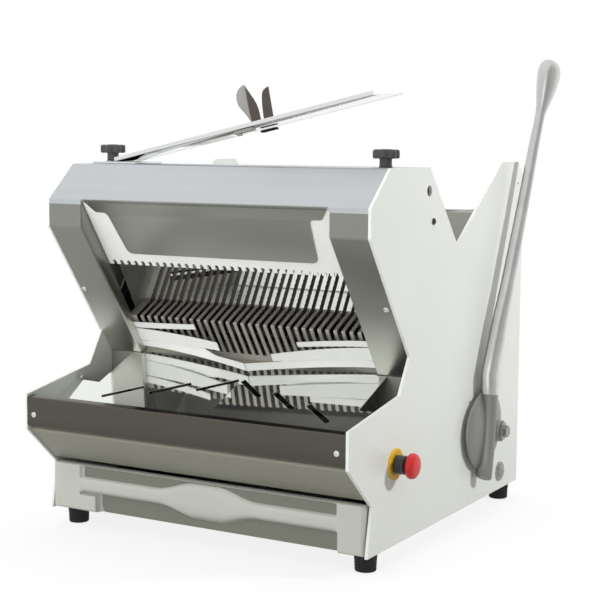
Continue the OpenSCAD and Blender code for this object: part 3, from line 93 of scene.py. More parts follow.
def tone(red, green, blue):
    """A screen colour of 0 to 255 as scene-linear numbers."""
    def linear(c):
        c /= 255
        return c / 12.92 if c <= 0.04045 else ((c + 0.055) / 1.055) ** 2.4
    return linear(red), linear(green), linear(blue)


# Settings

def length(label, about, size):
    return FloatProperty(name=label, description=about, default=size * MM, min=0.0, unit="LENGTH", precision=4)


def colour(label, about, *rgb):
    return FloatVectorProperty(name=label, description=about, default=tone(*rgb), subtype="COLOR", size=3,
                               min=0.0, max=1.0)


class SlicerSizes(bpy.types.PropertyGroup):
    """Sizes of the finished edges, folds and teeth"""
    panel_edge: length("Panel edge", "Rounding of the painted panels' edges", 1.1)
    part_edge: length("Part edge", "Rounding of the machined parts' edges", 0.5)
    hood_fold: length("Hood fold", "Bend radius at the hood's crown", 8)
    leg_fold: length("Leg fold", "Bend radius along the hood's legs", 3)
    apron_fold: length("Apron fold", "Bend radius of the apron's lip", 5)
    cover_fold: length("Cover fold", "Bend radius of the rear cover", 6)
    tooth_step: length("Tooth step", "Distance between the scallops of a blade", 9)
    tooth_depth: length("Tooth depth", "Depth of a blade's scallops", 1.4)
    knob_lobes: IntProperty(name="Knob lobes", description="Number of hollows round a knob", default=7, min=3, max=12)


class SlicerColours(bpy.types.PropertyGroup):
    """Colours of the finishes"""
    paint: colour("Paint", "Powder coat of the panels", 236, 238, 232)
    # A darker copy of the panels' white coat: painted shade for the slope under the apron
    slope_paint: colour("Slope paint", "Powder coat under the apron", 138, 137, 123)
    guard_paint: colour("Guard paint", "Coat of the slotted guard", 250, 251, 247)
    hood: colour("Hood", "Brushed sheet of the hood's top", 206, 210, 213)
    # The flap is the hood's own brushed sheet; its darker colour is painted shade
    flap: colour("Flap", "Brushed sheet of the flap", 172, 173, 165)
    # The legs are the hood's own brushed sheet; their darker colour is painted shade
    leg: colour("Leg", "Brushed sheet of the hood's legs", 150, 151, 144)
    # The apron's polished steel is darkened to stand in for the dark it mirrors: a painted reflection
    apron: colour("Apron", "Dark polished apron", 94, 90, 83)
    mirror: colour("Mirror steel", "Polished rods and shovel", 238, 239, 238)
    table: colour("Table steel", "Polished outfeed table", 238, 240, 236)
    # A darker copy of the drawer plastic for the hollows round the handle: painted shade on a one-colour moulding
    recess: colour("Drawer recess", "Shaded hollows round the drawer's handle", 120, 122, 111)
    post: colour("Post", "Brushed posts under the hood's legs", 138, 138, 130)
    comb: colour("Comb", "Ground finger comb", 186, 181, 172)
    steel: colour("Plain steel", "Ground steel inside", 172, 172, 168)
    blade: colour("Blade steel", "Scalloped blades", 88, 82, 76)
    # Raised towards white to make up for the little light the plate gets inside the hood: painted light
    shaded: colour("Shaded sheet", "Plate behind the blades", 218, 216, 211)
    dark_steel: colour("Dark steel", "Blackened steel inside", 84, 84, 82)
    cast: colour("Cast alloy", "Polished casting of the lever", 214, 214, 212)
    drawer: colour("Drawer plastic", "Moulded drawer front", 197, 199, 191)
    black: colour("Black plastic", "Knobs and collar", 66, 66, 67)
    red: colour("Red plastic", "Stop button", 214, 38, 38)
    yellow: colour("Yellow plastic", "Stop plate", 240, 192, 24)
    rubber: colour("Rubber", "Feet and belt", 18, 18, 18)
    bronze: colour("Bronze", "Bushes", 176, 132, 76)
    motor: colour("Motor paint", "Hammered motor paint", 92, 112, 128)


# Finishes

class Wire:
    """A node's output that takes part in Python arithmetic."""

    def __init__(self, finish, socket):
        self.finish = finish
        self.socket = socket

    def maths(self, operation, first, second):
        return self.finish.add("ShaderNodeMath", {0: first, 1: second}, operation=operation)

    def __add__(self, other):
        return self.maths("ADD", self, other)

    def __radd__(self, other):
        return self.maths("ADD", other, self)

    def __mul__(self, other):
        return self.maths("MULTIPLY", self, other)

    def __rmul__(self, other):
        return self.maths("MULTIPLY", other, self)


class Finish:
    """The node tree of one finish."""

    def __init__(self, owner):
        owner.use_nodes = True
        self.tree = owner.node_tree
        self.tree.nodes.clear()

    def add(self, kind, links, out=0, **settings):
        """Adds a node, sets it up, joins its sockets and gives one output back."""
        node = self.tree.nodes.new(kind)
        for key, value in settings.items():
            if key == "stops":
                while len(node.color_ramp.elements) < len(value):
                    node.color_ramp.elements.new(1.0)
                for element, (place, shade) in zip(node.color_ramp.elements, value):
                    element.position = place
                    element.color = (shade, shade, shade, 1)
            else:
                setattr(node, key, value)
        for key, value in links.items():
            if isinstance(value, Wire):
                self.tree.links.new(value.socket, node.inputs[key])
            else:
                node.inputs[key].default_value = value
        return Wire(self, node.outputs[out])

    def spot(self, kind="Object"):
        return self.add("ShaderNodeTexCoord", {}, kind)

    def place(self, scale=(1, 1, 1)):
        return self.add("ShaderNodeMapping", {"Vector": self.spot(), "Scale": scale})

    def noise(self, scale, detail=3.0, stretch=(1, 1, 1)):
        return self.add("ShaderNodeTexNoise", {"Vector": self.place(stretch), "Scale": scale, "Detail": detail,
                                               "Roughness": 0.55})

    def cells(self, scale):
        return self.add("ShaderNodeTexVoronoi", {"Vector": self.place(), "Scale": scale})

    def ramp(self, value, *stops):
        return self.add("ShaderNodeValToRGB", {"Fac": value}, stops=stops)

    def ease(self, value, low, high, start=0.0, end=1.0):
        """Leads softly from start to end while the value goes from low to high."""
        links = {"Value": value, "From Min": low, "From Max": high, "To Min": start, "To Max": end}
        return self.add("ShaderNodeMapRange", links, interpolation_type="SMOOTHSTEP")

    def blend(self, share, first, second):
        return self.add("ShaderNodeMix", {0: share, 6: (*first, 1), 7: (*second, 1)}, 2, data_type="RGBA")

    def bump(self, height, strength, depth):
        return self.add("ShaderNodeBump", {"Height": height, "Strength": strength, "Distance": depth})

    def surface(self, base, rough, metal=0.0, normal=None, **more):
        links = {"Base Color": base, "Roughness": rough, "Metallic": metal, **more}
        if normal:
            links["Normal"] = normal
        shader = self.add("ShaderNodeBsdfPrincipled", links, "BSDF")
        self.add_output("ShaderNodeOutputMaterial", shader)

    def add_output(self, kind, shader):
        node = self.tree.nodes.new(kind)
        self.tree.links.new(shader.socket, node.inputs["Surface"])


def shade(rgb, share):
    return tuple(max(0.0, min(1.0, c * share)) for c in rgb)


def powder_coat(f, rgb):
    cloud = f.noise(7, 3)
    peel = f.noise(850, 2)
    dust = f.noise(2600, 1)
    base = f.blend(f.ramp(cloud, (0.3, 0), (0.72, 1)), shade(rgb, 0.965), rgb)
    f.surface(base, 0.30 + 0.10 * cloud, normal=f.bump(peel + 0.3 * dust, 0.07, 0.0004),
              **{"Coat Weight": 0.25, "Coat Roughness": 0.12})


def brushed_sheet(f, rgb, along, rough=0.30):
    """Ground sheet metal with fine streaks along one axis."""
    stretch = [900, 900, 900]
    stretch["XYZ".index(along)] = 9
    broad = [60, 60, 60]
    broad["XYZ".index(along)] = 2
    streak = f.noise(1, 4, stretch)
    wide = f.noise(1, 2, broad)
    smear = f.noise(5, 3)
    base = f.blend(0.6 * streak + 0.4 * wide, shade(rgb, 0.86), shade(rgb, 1.08))
    f.surface(base, rough - 0.08 + 0.14 * streak + 0.07 * smear, 1.0, f.bump(streak, 0.06, 0.0002))


def leg_sheet(f, rgb):
    """Ground sheet painted lighter towards its foot: a painted reflection of the pale table."""
    streak = f.noise(1, 4, (900, 900, 9))
    height = f.add("ShaderNodeSeparateXYZ", {"Vector": f.spot()}, "Z")
    low = f.ease(height + 0.01 * streak, 0.42, 0.29)
    f.surface(f.blend(low, rgb, shade(rgb, 2.5)), 0.30 + 0.12 * streak, 1.0, f.bump(streak, 0.06, 0.0002))


def table_sheet(f, rgb):
    """Polished sheet under a thin pale haze."""
    haze = f.noise(6, 4)
    hair = f.noise(1, 3, (14, 1300, 1300))
    base = f.blend(f.ramp(haze, (0.25, 0), (0.8, 1)), shade(rgb, 0.95), rgb)
    f.surface(base, 0.03 + 0.03 * haze, 0.93 + 0.05 * haze, f.bump(hair, 0.006, 0.0001))


def mirror_sheet(f, rgb, rough=0.07):
    """Polished sheet with faint haze and hair scratches."""
    haze = f.noise(6, 4)
    hair = f.noise(1, 3, (14, 1300, 1300))
    cross = f.noise(1, 3, (1300, 20, 1300))
    base = f.blend(f.ramp(haze, (0.25, 0), (0.8, 1)), shade(rgb, 0.93), rgb)
    f.surface(base, rough + 0.05 * haze + 0.04 * f.ramp(hair * cross, (0.2, 0), (0.42, 1)), 1.0,
              f.bump(hair, 0.012, 0.0001))


def ground_steel(f, rgb, rough=0.34, metal=1.0):
    grain = f.noise(1, 4, (700, 60, 700))
    cloud = f.noise(18, 4)
    base = f.blend(0.5 * grain + 0.5 * cloud, shade(rgb, 0.8), shade(rgb, 1.1))
    f.surface(base, rough - 0.06 + 0.2 * cloud, metal, f.bump(grain, 0.06, 0.0002))


def polished_casting(f, rgb):
    """Hand-polished sand casting, with some of its skin left."""
    skin = f.noise(420, 4)
    wave = f.noise(38, 3)
    dirt = f.noise(16, 5)
    base = f.blend(f.ramp(dirt, (0.3, 0), (0.65, 1)), shade(rgb, 0.82), rgb)
    f.surface(base, 0.20 + 0.10 * dirt, 1.0, f.bump(0.35 * skin + wave, 0.03, 0.0004))


# The hub is the lever's own cast alloy, ground rougher and with its colour cut to 0.46: the darkening is painted
# shade
def dull_casting_painted_shade(f, rgb):
    ground_steel(f, shade(rgb, 0.46), 0.36, 0.75)


def moulded_plastic(f, rgb, rough=0.42, grain=0.12):
    leather = f.noise(1100, 2)
    cloud = f.noise(9, 3)
    base = f.blend(cloud, shade(rgb, 0.95), shade(rgb, 1.02))
    f.surface(base, rough - 0.05 + 0.12 * cloud, normal=f.bump(leather, grain, 0.0004))


def rubber_skin(f, rgb):
    grain = f.noise(1500, 3)
    dust = f.noise(60, 5)
    base = f.blend(f.ramp(dust, (0.45, 0), (0.85, 1)), rgb, shade(rgb, 2.2))
    f.surface(base, 0.62 + 0.2 * dust, normal=f.bump(grain, 0.2, 0.0004))


def hammered_paint(f, rgb):
    dents = f.cells(260)
    cloud = f.noise(30, 3)
    base = f.blend(dents, shade(rgb, 0.8), shade(rgb, 1.15))
    f.surface(base, 0.32 + 0.15 * cloud, 0.2, f.bump(dents, 0.3, 0.0006))


# Each finish: how it is made, its colour and how rough, metallic or grained it is
FINISHES = {
    "panel_paint": (powder_coat, "paint"),
    "slope_paint": (powder_coat, "slope_paint"),
    "guard_paint": (powder_coat, "guard_paint"),
    "hood_sheet": (brushed_sheet, "hood", "X", 0.34),
    "flap_sheet": (brushed_sheet, "flap", "X", 0.36),
    "leg_sheet": (leg_sheet, "leg"),
    "table_sheet": (table_sheet, "table"),
    "recess_plastic": (moulded_plastic, "recess", 0.45, 0.06),
    "apron_sheet": (mirror_sheet, "apron", 0.12),
    "mirror_sheet": (mirror_sheet, "mirror", 0.05),
    "comb_sheet": (ground_steel, "comb", 0.4, 0.55),
    "post_sheet": (ground_steel, "post", 0.42, 0.4),
    "blade_steel": (ground_steel, "blade", 0.34, 0.65),
    "shaded_sheet": (ground_steel, "shaded", 0.5, 0.15),
    "plain_steel": (ground_steel, "steel"),
    "trough_sheet": (brushed_sheet, "mirror", "Y", 0.26),
    "dark_steel": (ground_steel, "dark_steel", 0.4),
    "bright_steel": (ground_steel, "mirror", 0.2),
    "casting": (polished_casting, "cast"),
    "hub_casting": (dull_casting_painted_shade, "cast"),
    "drawer_plastic": (moulded_plastic, "drawer", 0.38, 0.06),
    "black_plastic": (moulded_plastic, "black", 0.36),
    "red_plastic": (moulded_plastic, "red", 0.3, 0.03),
    "yellow_plastic": (moulded_plastic, "yellow", 0.4, 0.05),
    "white_plastic": (moulded_plastic, "drawer", 0.4),
    "rubber": (rubber_skin, "rubber"),
    "bronze": (ground_steel, "bronze", 0.36),
    "motor_paint": (hammered_paint, "motor"),
}
MADE = {}


def finish(name):
    """The material of one finish, made the first time it is asked for."""
    if name not in MADE:
        maker, tint, *measures = FINISHES[name]
        MADE[name] = bpy.data.materials.new(name)
        maker(Finish(MADE[name]), getattr(bpy.context.scene.slicer_colours, tint), *measures)
    return MADE[name]


# Shaping

def rounded(points, radii, steps=5):
    """A broken line whose corners become arcs."""
    line = []
    for i, point in enumerate(points):
        here = Vector(point)
        radius = radii[i]
        if radius <= 0 or i in (0, len(points) - 1):
            line.append(here)
            continue
        back = (Vector(points[i - 1]) - here).normalized()
        ahead = (Vector(points[i + 1]) - here).normalized()
        half = math.acos(max(-1, min(1, back.dot(ahead)))) / 2
        reach = radius / math.tan(half)
        middle = here + (back + ahead).normalized() * radius / math.sin(half)
        start = here + back * reach - middle
        end = here + ahead * reach - middle
        first = math.atan2(start.y, start.x)
        sweep = (math.atan2(end.y, end.x) - first + math.pi) % math.tau - math.pi
        for k in range(steps + 1):
            angle = first + sweep * k / steps
            line.append(middle + radius * Vector((math.cos(angle), math.sin(angle))))
    return line


def loop(points, radii, steps=5):
    """A closed outline whose corners become arcs."""
    closed = [points[-1], *points, points[0]]
    return rounded(closed, [0, *radii, 0], steps)[1:-1]


def meshed(bm, name):
    """Turns a shape into a mesh and lets the shape go."""
    mesh = bpy.data.meshes.new(name)
    bm.to_mesh(mesh)
    bm.free()
    return mesh


def placed(name, data):
    """A new object in the scene."""
    thing = bpy.data.objects.new(name, data)
    bpy.context.scene.collection.objects.link(thing)
    return thing


def joined(*parts):
    """Puts several shapes into one."""
    whole = bmesh.new()
    for part in parts:
        mesh = meshed(part, "part")
        whole.from_mesh(mesh)
        bpy.data.meshes.remove(mesh)
    return whole


def outward(bm):
    """Turns the faces outward."""
    bmesh.ops.recalc_face_normals(bm, faces=bm.faces)
    return bm


def closed(bm, gap=0.001):
    """Joins corners that meet and turns the faces outward."""
    bmesh.ops.remove_doubles(bm, verts=bm.verts, dist=gap)
    return outward(bm)


def drawn_out(bm, edges):
    """Draws a row of edges out into faces, and gives back the new corners and edges."""
    made = bmesh.ops.extrude_edge_only(bm, edges=edges)["geom"]
    fresh = {g for g in made if isinstance(g, bmesh.types.BMVert)}
    return fresh, [g for g in made if isinstance(g, bmesh.types.BMEdge) and all(v in fresh for v in g.verts)]


def moved(bm, matrix):
    bmesh.ops.transform(bm, matrix=matrix, verts=bm.verts)
    return bm


def mirrored(bm):
    """The same shape on the other side of the machine's middle plane."""
    twin = bm.copy()
    bmesh.ops.scale(twin, vec=(-1, 1, 1), verts=twin.verts)
    bmesh.ops.reverse_faces(twin, faces=twin.faces)
    return twin


def prism(outline, push):
    """A flat outline drawn out along a vector."""
    bm = bmesh.new()
    face = bm.faces.new([bm.verts.new(p) for p in outline])
    made = bmesh.ops.extrude_face_region(bm, geom=[face], use_keep_orig=True)
    bmesh.ops.translate(bm, vec=push, verts=[g for g in made["geom"] if isinstance(g, bmesh.types.BMVert)])
    return closed(bm)


def block(x0, x1, y0, y1, z0, z1):
    bm = bmesh.new()
    bmesh.ops.create_cube(bm, size=1)
    bmesh.ops.scale(bm, vec=(x1 - x0, y1 - y0, z1 - z0), verts=bm.verts)
    bmesh.ops.translate(bm, vec=((x0 + x1) / 2, (y0 + y1) / 2, (z0 + z1) / 2), verts=bm.verts)
    return bm


def softened(bm, width, segments=2, angle=30):
    """Rounds the sharp edges."""
    edges = [e for e in bm.edges if len(e.link_faces) == 2 and e.calc_face_angle() > math.radians(angle)]
    bmesh.ops.bevel(bm, geom=edges, offset=width, offset_type="OFFSET", segments=segments, profile=0.5,
                    affect="EDGES", clamp_overlap=True, material=-1)
    return bm


def folded(line, cuts, thick, keep=None):
    """Sheet metal: a broken line in depth and height, drawn across the machine and given its thickness.
    keep says which strips and steps of the line stay."""
    bm = bmesh.new()
    row = [bm.verts.new((cuts[0], p[0], p[1])) for p in line]
    edges = [bm.edges.new(pair) for pair in zip(row, row[1:])]
    for x in cuts[1:]:
        fresh, edges = drawn_out(bm, edges)
        for vert in fresh:
            vert.co.x = x
    if keep:
        gone = [f for f in bm.faces if not keep(f.calc_center_median())]
        bmesh.ops.delete(bm, geom=gone, context="FACES")
    outward(bm)
    return thickened(bm, thick) if thick else bm


def thickened(bm, thick):
    bmesh.ops.solidify(bm, geom=bm.faces, thickness=thick)
    return bm


def turned(profile, matrix, steps=48):
    """A profile of radius and height spun round its own axis."""
    bm = bmesh.new()
    row = [bm.verts.new((r, 0, h)) for r, h in profile]
    edges = [bm.edges.new(pair) for pair in zip(row, row[1:])]
    bmesh.ops.spin(bm, geom=row + edges, cent=(0, 0, 0), axis=(0, 0, 1), dvec=(0, 0, 0),
                   angle=math.tau, steps=steps, use_merge=True, use_duplicate=False)
    closed(bm, 0.002)
    return moved(bm, matrix)


def skinned(rings):
    """A row of like rings, skinned from one to the next and capped."""
    bm = bmesh.new()
    row = [bm.verts.new(p) for p in rings[0]]
    edges = [bm.edges.new((row[i - 1], row[i])) for i in range(len(row))]
    bm.faces.new(row)
    for ring in rings[1:]:
        fresh, edges = drawn_out(bm, edges)
        row = [next(e.other_vert(v) for e in v.link_edges if e.other_vert(v) in fresh) for v in row]
        for vert, point in zip(row, ring):
            vert.co = point
    bm.faces.new(row)
    return outward(bm)


def out_x(x, y, z):
    """A spot whose own axis points to the machine's right."""
    return tilted((x, y, z), 90, "Y")


def out_front(x, y, z, tilt=0.0):
    return tilted((x, y, z), 90 + tilt, "X")


def out_back(x, y, z):
    return tilted((x, y, z), -90, "X")


def out_up(x, y, z):
    return Matrix.Translation((x, y, z))


def piece(name, bm, look, nodes, body="machine", smooth=SHARP, edge=0.0):
    """Places a shape in the frame, gives it its finish and lets it stand for its nodes."""
    moved(bm, MACHINE)
    for face in bm.faces:
        face.smooth = True
    for rim in bm.edges:
        rim.smooth = len(rim.link_faces) == 2 and rim.calc_face_angle(0.0) < math.radians(smooth)
    thing = placed(name, meshed(bm, name))
    thing.data.materials.append(finish(look))
    if edge:
        dull_edges(thing, edge)
    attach(thing, body)
    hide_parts(*nodes)


def dull_edges(thing, width):
    """Rounds an object's sharp edges and evens its shading."""
    rim = thing.modifiers.new("rounded edges", "BEVEL")
    rim.width = width
    rim.segments = 2
    rim.limit_method = "ANGLE"
    rim.angle_limit = math.radians(SHARP)
    rim.miter_outer = "MITER_ARC"
    even = thing.modifiers.new("even shading", "WEIGHTED_NORMAL")
    even.keep_sharp = True


def dressed(look, *nodes, edge=None):
    """CAD nodes whose shape is right: joined triangles, rounded edges and a finish. With no edge, the faces stay as
    they are, which suits bars whose long faces are cut by many slots."""
    width = bpy.context.scene.slicer_sizes.part_edge if edge is None else edge
    for name in nodes:
        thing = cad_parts[name]
        thing.data.materials.clear()
        thing.data.materials.append(finish(look))
        weld = thing.modifiers.new("joined corners", "WELD")
        weld.merge_threshold = 0.00002
        if width:
            flat = thing.modifiers.new("whole faces", "DECIMATE")
            flat.decimate_type = "DISSOLVE"
            flat.angle_limit = math.radians(0.6)
            dull_edges(thing, width)


def smoothstep(low, high, value):
    t = max(0.0, min(1.0, (value - low) / (high - low)))
    return t * t * (3 - 2 * t)


def across_machine(line):
    """A folded sheet from one side panel to the other."""
    return folded(line, [-INNER, INNER], SHEET)


# Pieces

class SLICER_OT_panels(bpy.types.Operator):
    """Painted side panels, base plate and folded rear cover"""
    bl_idname = "slicer.panels"
    bl_label = "Panels and cover"

    def execute(self, context):
        sizes = context.scene.slicer_sizes
        dressed("panel_paint", "left_side_panel", "right_side_panel", edge=sizes.panel_edge)
        dressed("plain_steel", "base_plate")
        fold = sizes.cover_fold / MM
        line = rounded([(597, 510), (615, 510), (615, 0)], [0, fold, 0])
        piece("folded_rear_cover", across_machine(line), "panel_paint", ["rear_cover"])
        return {"FINISHED"}


class SLICER_OT_hood(bpy.types.Operator):
    """Brushed hood: crown, facet, flap, legs and back plate"""
    bl_idname = "slicer.hood"
    bl_label = "Hood"

    def execute(self, context):
        sizes = context.scene.slicer_sizes
        top = [(207, CROWN), (65, CROWN), (0, FOLD)]
        bends = [0, sizes.hood_fold / MM, 3, 0]
        lean = math.radians(GUARD_LEAN)
        middle = rounded([*top, (6 * math.sin(lean), FOLD - 6 * math.cos(lean))], bends)
        side = rounded([*top, (0, 528)], bends)
        shell = joined(folded(middle, [-FLAP_HALF, FLAP_HALF], 0), folded(side, [FLAP_HALF, INNER], 0),
                       folded(side, [-INNER, -FLAP_HALF], 0))
        closed(shell, 0.01)
        up = max(shell.faces, key=lambda f: f.calc_center_median().y)
        if up.normal.z < 0:
            bmesh.ops.reverse_faces(shell, faces=shell.faces)
        piece("hood_shell", thickened(shell, SHEET), "hood_sheet", ["front_hood"])

        left = [(-236, 0), (-217, -26), (-195, -26), (-185, -112)]
        bends = [0.5, 7, 9, 12]
        outline = loop(left + [(-x, z) for x, z in reversed(left)], bends + bends[::-1])
        flap = prism([(x, 0, z) for x, z in outline], (0, SHEET, 0))
        softened(flap, 0.6)
        # The flap's darker colour is painted shade on the hood's own sheet
        piece("hood_flap", moved(flap, GUARD), "flap_sheet", ["front_hood"])

        sides = [(0, 528), (0, 490), (169, 256), (190.3, 256), (5.4, 528)]
        leg = prism([(238, y, z) for y, z in sides], (67, 0, 0))
        open_faces = [f for f in leg.faces if f.normal.x > 0.9 or f.normal.y > 0.5 or f.normal.z > 0.9]
        bmesh.ops.delete(leg, geom=open_faces, context="FACES")
        softened(leg, sizes.leg_fold / MM, 4, 20)
        thickened(leg, 1.8)
        # Legs darker than the crown as painted shade, lighter towards the foot as a painted reflection of the table
        piece("hood_legs", joined(mirrored(leg), leg), "leg_sheet", ["front_hood"])
        # The back plate's near-white colour is painted light
        dressed("shaded_sheet", "hood_back_plate")
        return {"FINISHED"}


class SLICER_OT_guard(bpy.types.Operator):
    """White slotted guard behind the flap"""
    bl_idname = "slicer.guard"
    bl_label = "Guard"

    def execute(self, context):
        dressed("guard_paint", "upper_guard", edge=0.0004)
        return {"FINISHED"}


class SLICER_OT_front(bpy.types.Operator):
    """Polished apron darkened as a painted reflection, and the painted slope under it darkened as painted shade"""
    bl_idname = "slicer.front"
    bl_label = "Apron and slope"

    def execute(self, context):
        fold = context.scene.slicer_sizes.apron_fold / MM
        line = rounded([(-49, 206.6), (APRON_FRONT, 204), (APRON_FRONT, 154), (-49, 154)], [0, fold, fold, 0], 6)
        # The apron's dark colour is a painted reflection on polished steel
        piece("rolled_apron", across_machine(line), "apron_sheet", ["front_apron"])
        # The slope's darker coat is painted shade under the apron
        line = rounded([(-47, 152), (-62, 152), (5, 90), (17, 90)], [0, fold, fold, 0], 6)
        piece("painted_slope", across_machine(line), "slope_paint", ["lower_front_panel"])
        return {"FINISHED"}


class SLICER_OT_chute(bpy.types.Operator):
    """Outfeed side: posts, mirror table and finger comb"""
    bl_idname = "slicer.chute"
    bl_label = "Outfeed"

    @staticmethod
    def finger(side, high, low, tip, depth, tip_high, tip_low, lap, steps=24):
        """A soft strip from the hood's leg to its free end near the middle, where it hangs forward.
        lap is how far its upper edge reaches behind the strip above."""
        start, ahead, thick = 240, -4.2, Vector((0, 1.2, 0))
        back = depth + math.tan(math.radians(GUARD_LEAN)) * (tip_high - tip_low)
        rings = []
        for k in range(steps + 1):
            share = k / steps
            hang = share ** 1.5
            tuck = smoothstep(0, 0.5, share) * (1 - smoothstep(0.55, 0.76, share))
            ring = []
            for down, height, far, rise in ((low, tip_low, back, 0), (high, tip_high, depth, lap)):
                root = GUARD @ Vector((0, ahead, -down))
                end = Vector((0, far, height))
                ring.append(root.lerp(end, hang) + Vector((side * (start + (tip - start) * share), 0, rise * tuck)))
            rings.append(ring + [p + thick for p in reversed(ring)])
        return skinned(rings)

    def execute(self, context):
        dressed("post_sheet", "chute_posts", edge=0.002)
        dressed("table_sheet", "outfeed_table", edge=0.0004)
        line = rounded([(216, 352), (208, 352), (190, 352), (142.03, 327), (182.13, 268), (202.5, 238)],
                       [0, 0, 4, 2.5, 0, 0], 4)
        end, slot = 247, 4
        cuts = [-end, *(i * PITCH + s for i in range(-15, 16) for s in (-slot, slot)), end]

        def keep(spot):
            in_slot = abs(spot.x - round(spot.x / PITCH) * PITCH) < slot and abs(spot.x) < 230
            return not (in_slot and spot.y < 208 and spot.z > 268)

        piece("finger_comb", folded(line, cuts, SHEET, keep), "comb_sheet", ["lower_comb"],
              edge=0.0004)
        fingers = [self.finger(*form) for form in (
            (-1, 265, 278, 100, 134, 320, 310.4, 0), (-1, 279.5, 308, 53, 134, 292, 276.5, 0),
            (-1, 309, 321, 0.7, 138, 259.5, 245.5, 10), (1, 265, 278, 100, 142, 303, 294.4, 0),
            (1, 279.5, 308, 53, 137, 280, 267, 0), (1, 309, 323, 0.7, 138, 259.5, 245.5, 8))]
        piece("retaining_fingers", joined(*fingers), "guard_paint", ["lower_comb"])
        return {"FINISHED"}


class SLICER_OT_blades(bpy.types.Operator):
    """Scalloped blades and the two frames that carry them"""
    bl_idname = "slicer.blades"
    bl_label = "Blades"

    def execute(self, context):
        sizes = context.scene.slicer_sizes
        step, depth = sizes.tooth_step / MM, sizes.tooth_depth / MM
        top, back, half, bevel = 156, 6, 0.5, 2.4
        for name, body, first, drop, shift in (("front", "front_frame", -15, 24, -0.5),
                                               ("rear", "rear_frame", -14, 30, 0.5)):
            rings = []
            count = int((top + drop) / step * 4)
            for k in range(count + 1):
                z = -drop + (top + drop) * k / count
                edge = -back + depth * abs(math.sin(math.pi * z / step)) * (0 < k < count)
                rings.append([(-half, back, z), (-half, edge + bevel, z), (0, edge, z), (half, edge + bevel, z),
                              (half, back, z)])
            blade = skinned(rings)
            row = joined(*[moved(blade.copy(), BLADES @ Matrix.Translation((i * PITCH, shift, 0)))
                           for i in range(first, 16, 2)])
            blade.free()
            piece(f"scalloped_{name}_blades", row, "blade_steel", [f"{name}_blades"], body,
                  smooth=20)
        dressed("dark_steel", "front_blade_frame", "rear_blade_frame", edge=0)
        dressed("dark_steel", "front_upper_bar", "rear_upper_bar")
        dressed("bright_steel", "frame_guide_rods")
        dressed("dark_steel", "guide_brackets")
        return {"FINISHED"}


class SLICER_OT_infeed(bpy.types.Operator):
    """Infeed trough, pusher and what moves it"""
    bl_idname = "slicer.infeed"
    bl_label = "Infeed and pusher"

    def execute(self, context):
        dressed("trough_sheet", "infeed_bed")
        dressed("post_sheet", "left_cheek", "right_cheek")
        dressed("bright_steel", "pusher_rails", "lever_shaft")
        dressed("dark_steel", "rail_brackets", "pusher_blocks")
        dressed("plain_steel", "pusher_crossbar")
        dressed("plain_steel", "lever_arms", edge=0)
        dressed("guard_paint", "pusher_plate")
        dressed("white_plastic", "arm_rollers")
        dressed("bronze", "lever_bushes")
        return {"FINISHED"}


class SLICER_OT_drive(bpy.types.Operator):
    """Motor, belt, pulleys and crankshaft"""
    bl_idname = "slicer.drive"
    bl_label = "Drive"

    def execute(self, context):
        dressed("motor_paint", "motor", edge=0.002)
        dressed("plain_steel", "motor_bracket", "crankshaft")
        dressed("dark_steel", "crank_bearings", "crank_pulley", "motor_pulley")
        dressed("rubber", "drive_belt")
        return {"FINISHED"}


class SLICER_OT_drawer(bpy.types.Operator):
    """Moulded drawer front with its swelling handle, tray and runners"""
    bl_idname = "slicer.drawer"
    bl_label = "Crumb drawer"

    def execute(self, context):
        bm = bmesh.new()
        bmesh.ops.create_grid(bm, x_segments=202, y_segments=80, size=0.5)
        bmesh.ops.scale(bm, vec=(DRAWER_WIDE, DRAWER_TALL, 1), verts=bm.verts)
        middle = DRAWER_FOOT + DRAWER_TALL / 2
        for vert in bm.verts:
            x, z = vert.co.x, vert.co.y + middle
            vert.co = (x, self.face_depth(x, z), z)
        outward(bm)
        fresh, rim = drawn_out(bm, [e for e in bm.edges if e.is_boundary])
        for vert in fresh:
            vert.co.y = 15
        bmesh.ops.holes_fill(bm, edges=rim, sides=0)
        piece("moulded_drawer_front", outward(bm), "drawer_plastic", ["drawer_front"], "drawer",
              smooth=50)
        across = [DRAWER_LEFT + (DRAWER_RIGHT - DRAWER_LEFT) * k / 90 for k in range(91)]
        under = [(DRAWER_LEFT, 12), (DRAWER_LEFT + 3, 6), (DRAWER_LEFT + 9, 3), (DRAWER_RIGHT, 3)]
        under += [(x, self.band(x)[0] - 1.4) for x in reversed(across)]
        over = [(-239, 61.2), *((x, self.band(x)[1] + 1.2) for x in across), (DRAWER_RIGHT, 79), (-239, 79)]
        # Thin darker sheets laid in the hollows above and below the handle: painted shade
        hollows = joined(*[prism([(x, depth, z) for x, z in outline], (0, 1.5, 0))
                           for outline, depth in ((under, 11.4), (over, 5.4))])
        piece("drawer_hollows", hollows, "recess_plastic", ["drawer_front"], "drawer")
        dressed("plain_steel", "crumb_tray")
        dressed("dark_steel", "drawer_runners")
        return {"FINISHED"}

    @staticmethod
    def band(x):
        """Lower and upper edge of the handle band, which swells near the middle."""
        swell = 1 - smoothstep(22, 98, abs(x - 10))
        return 33 - 15 * swell, 60 + 16 * swell

    def face_depth(self, x, z):
        """Depth of the drawer's face behind its foremost plane."""
        post = smoothstep(208, 214, -x) if x < 0 and z < 31 else smoothstep(241, 246, -x)
        post = max(post, smoothstep(252, 257, x))
        head = smoothstep(78, 81, z)
        low, high = self.band(x)
        middle, half = (high + low) / 2, (high - low) / 2
        across = min(1.0, abs(z - middle) / half)
        band = math.sqrt(1 - across ** 3)
        hollow = 12.2 - 6 * smoothstep(middle - 3, middle + 3, z)
        depth = (hollow * (1 - band) + 0.6) * (1 - post) * (1 - head)
        rim = 4
        reach = min(DRAWER_WIDE / 2 - abs(x), z - DRAWER_FOOT, DRAWER_FOOT + DRAWER_TALL - z)
        if reach < rim:
            depth += rim - math.sqrt(rim ** 2 - (rim - reach) ** 2)
        return depth


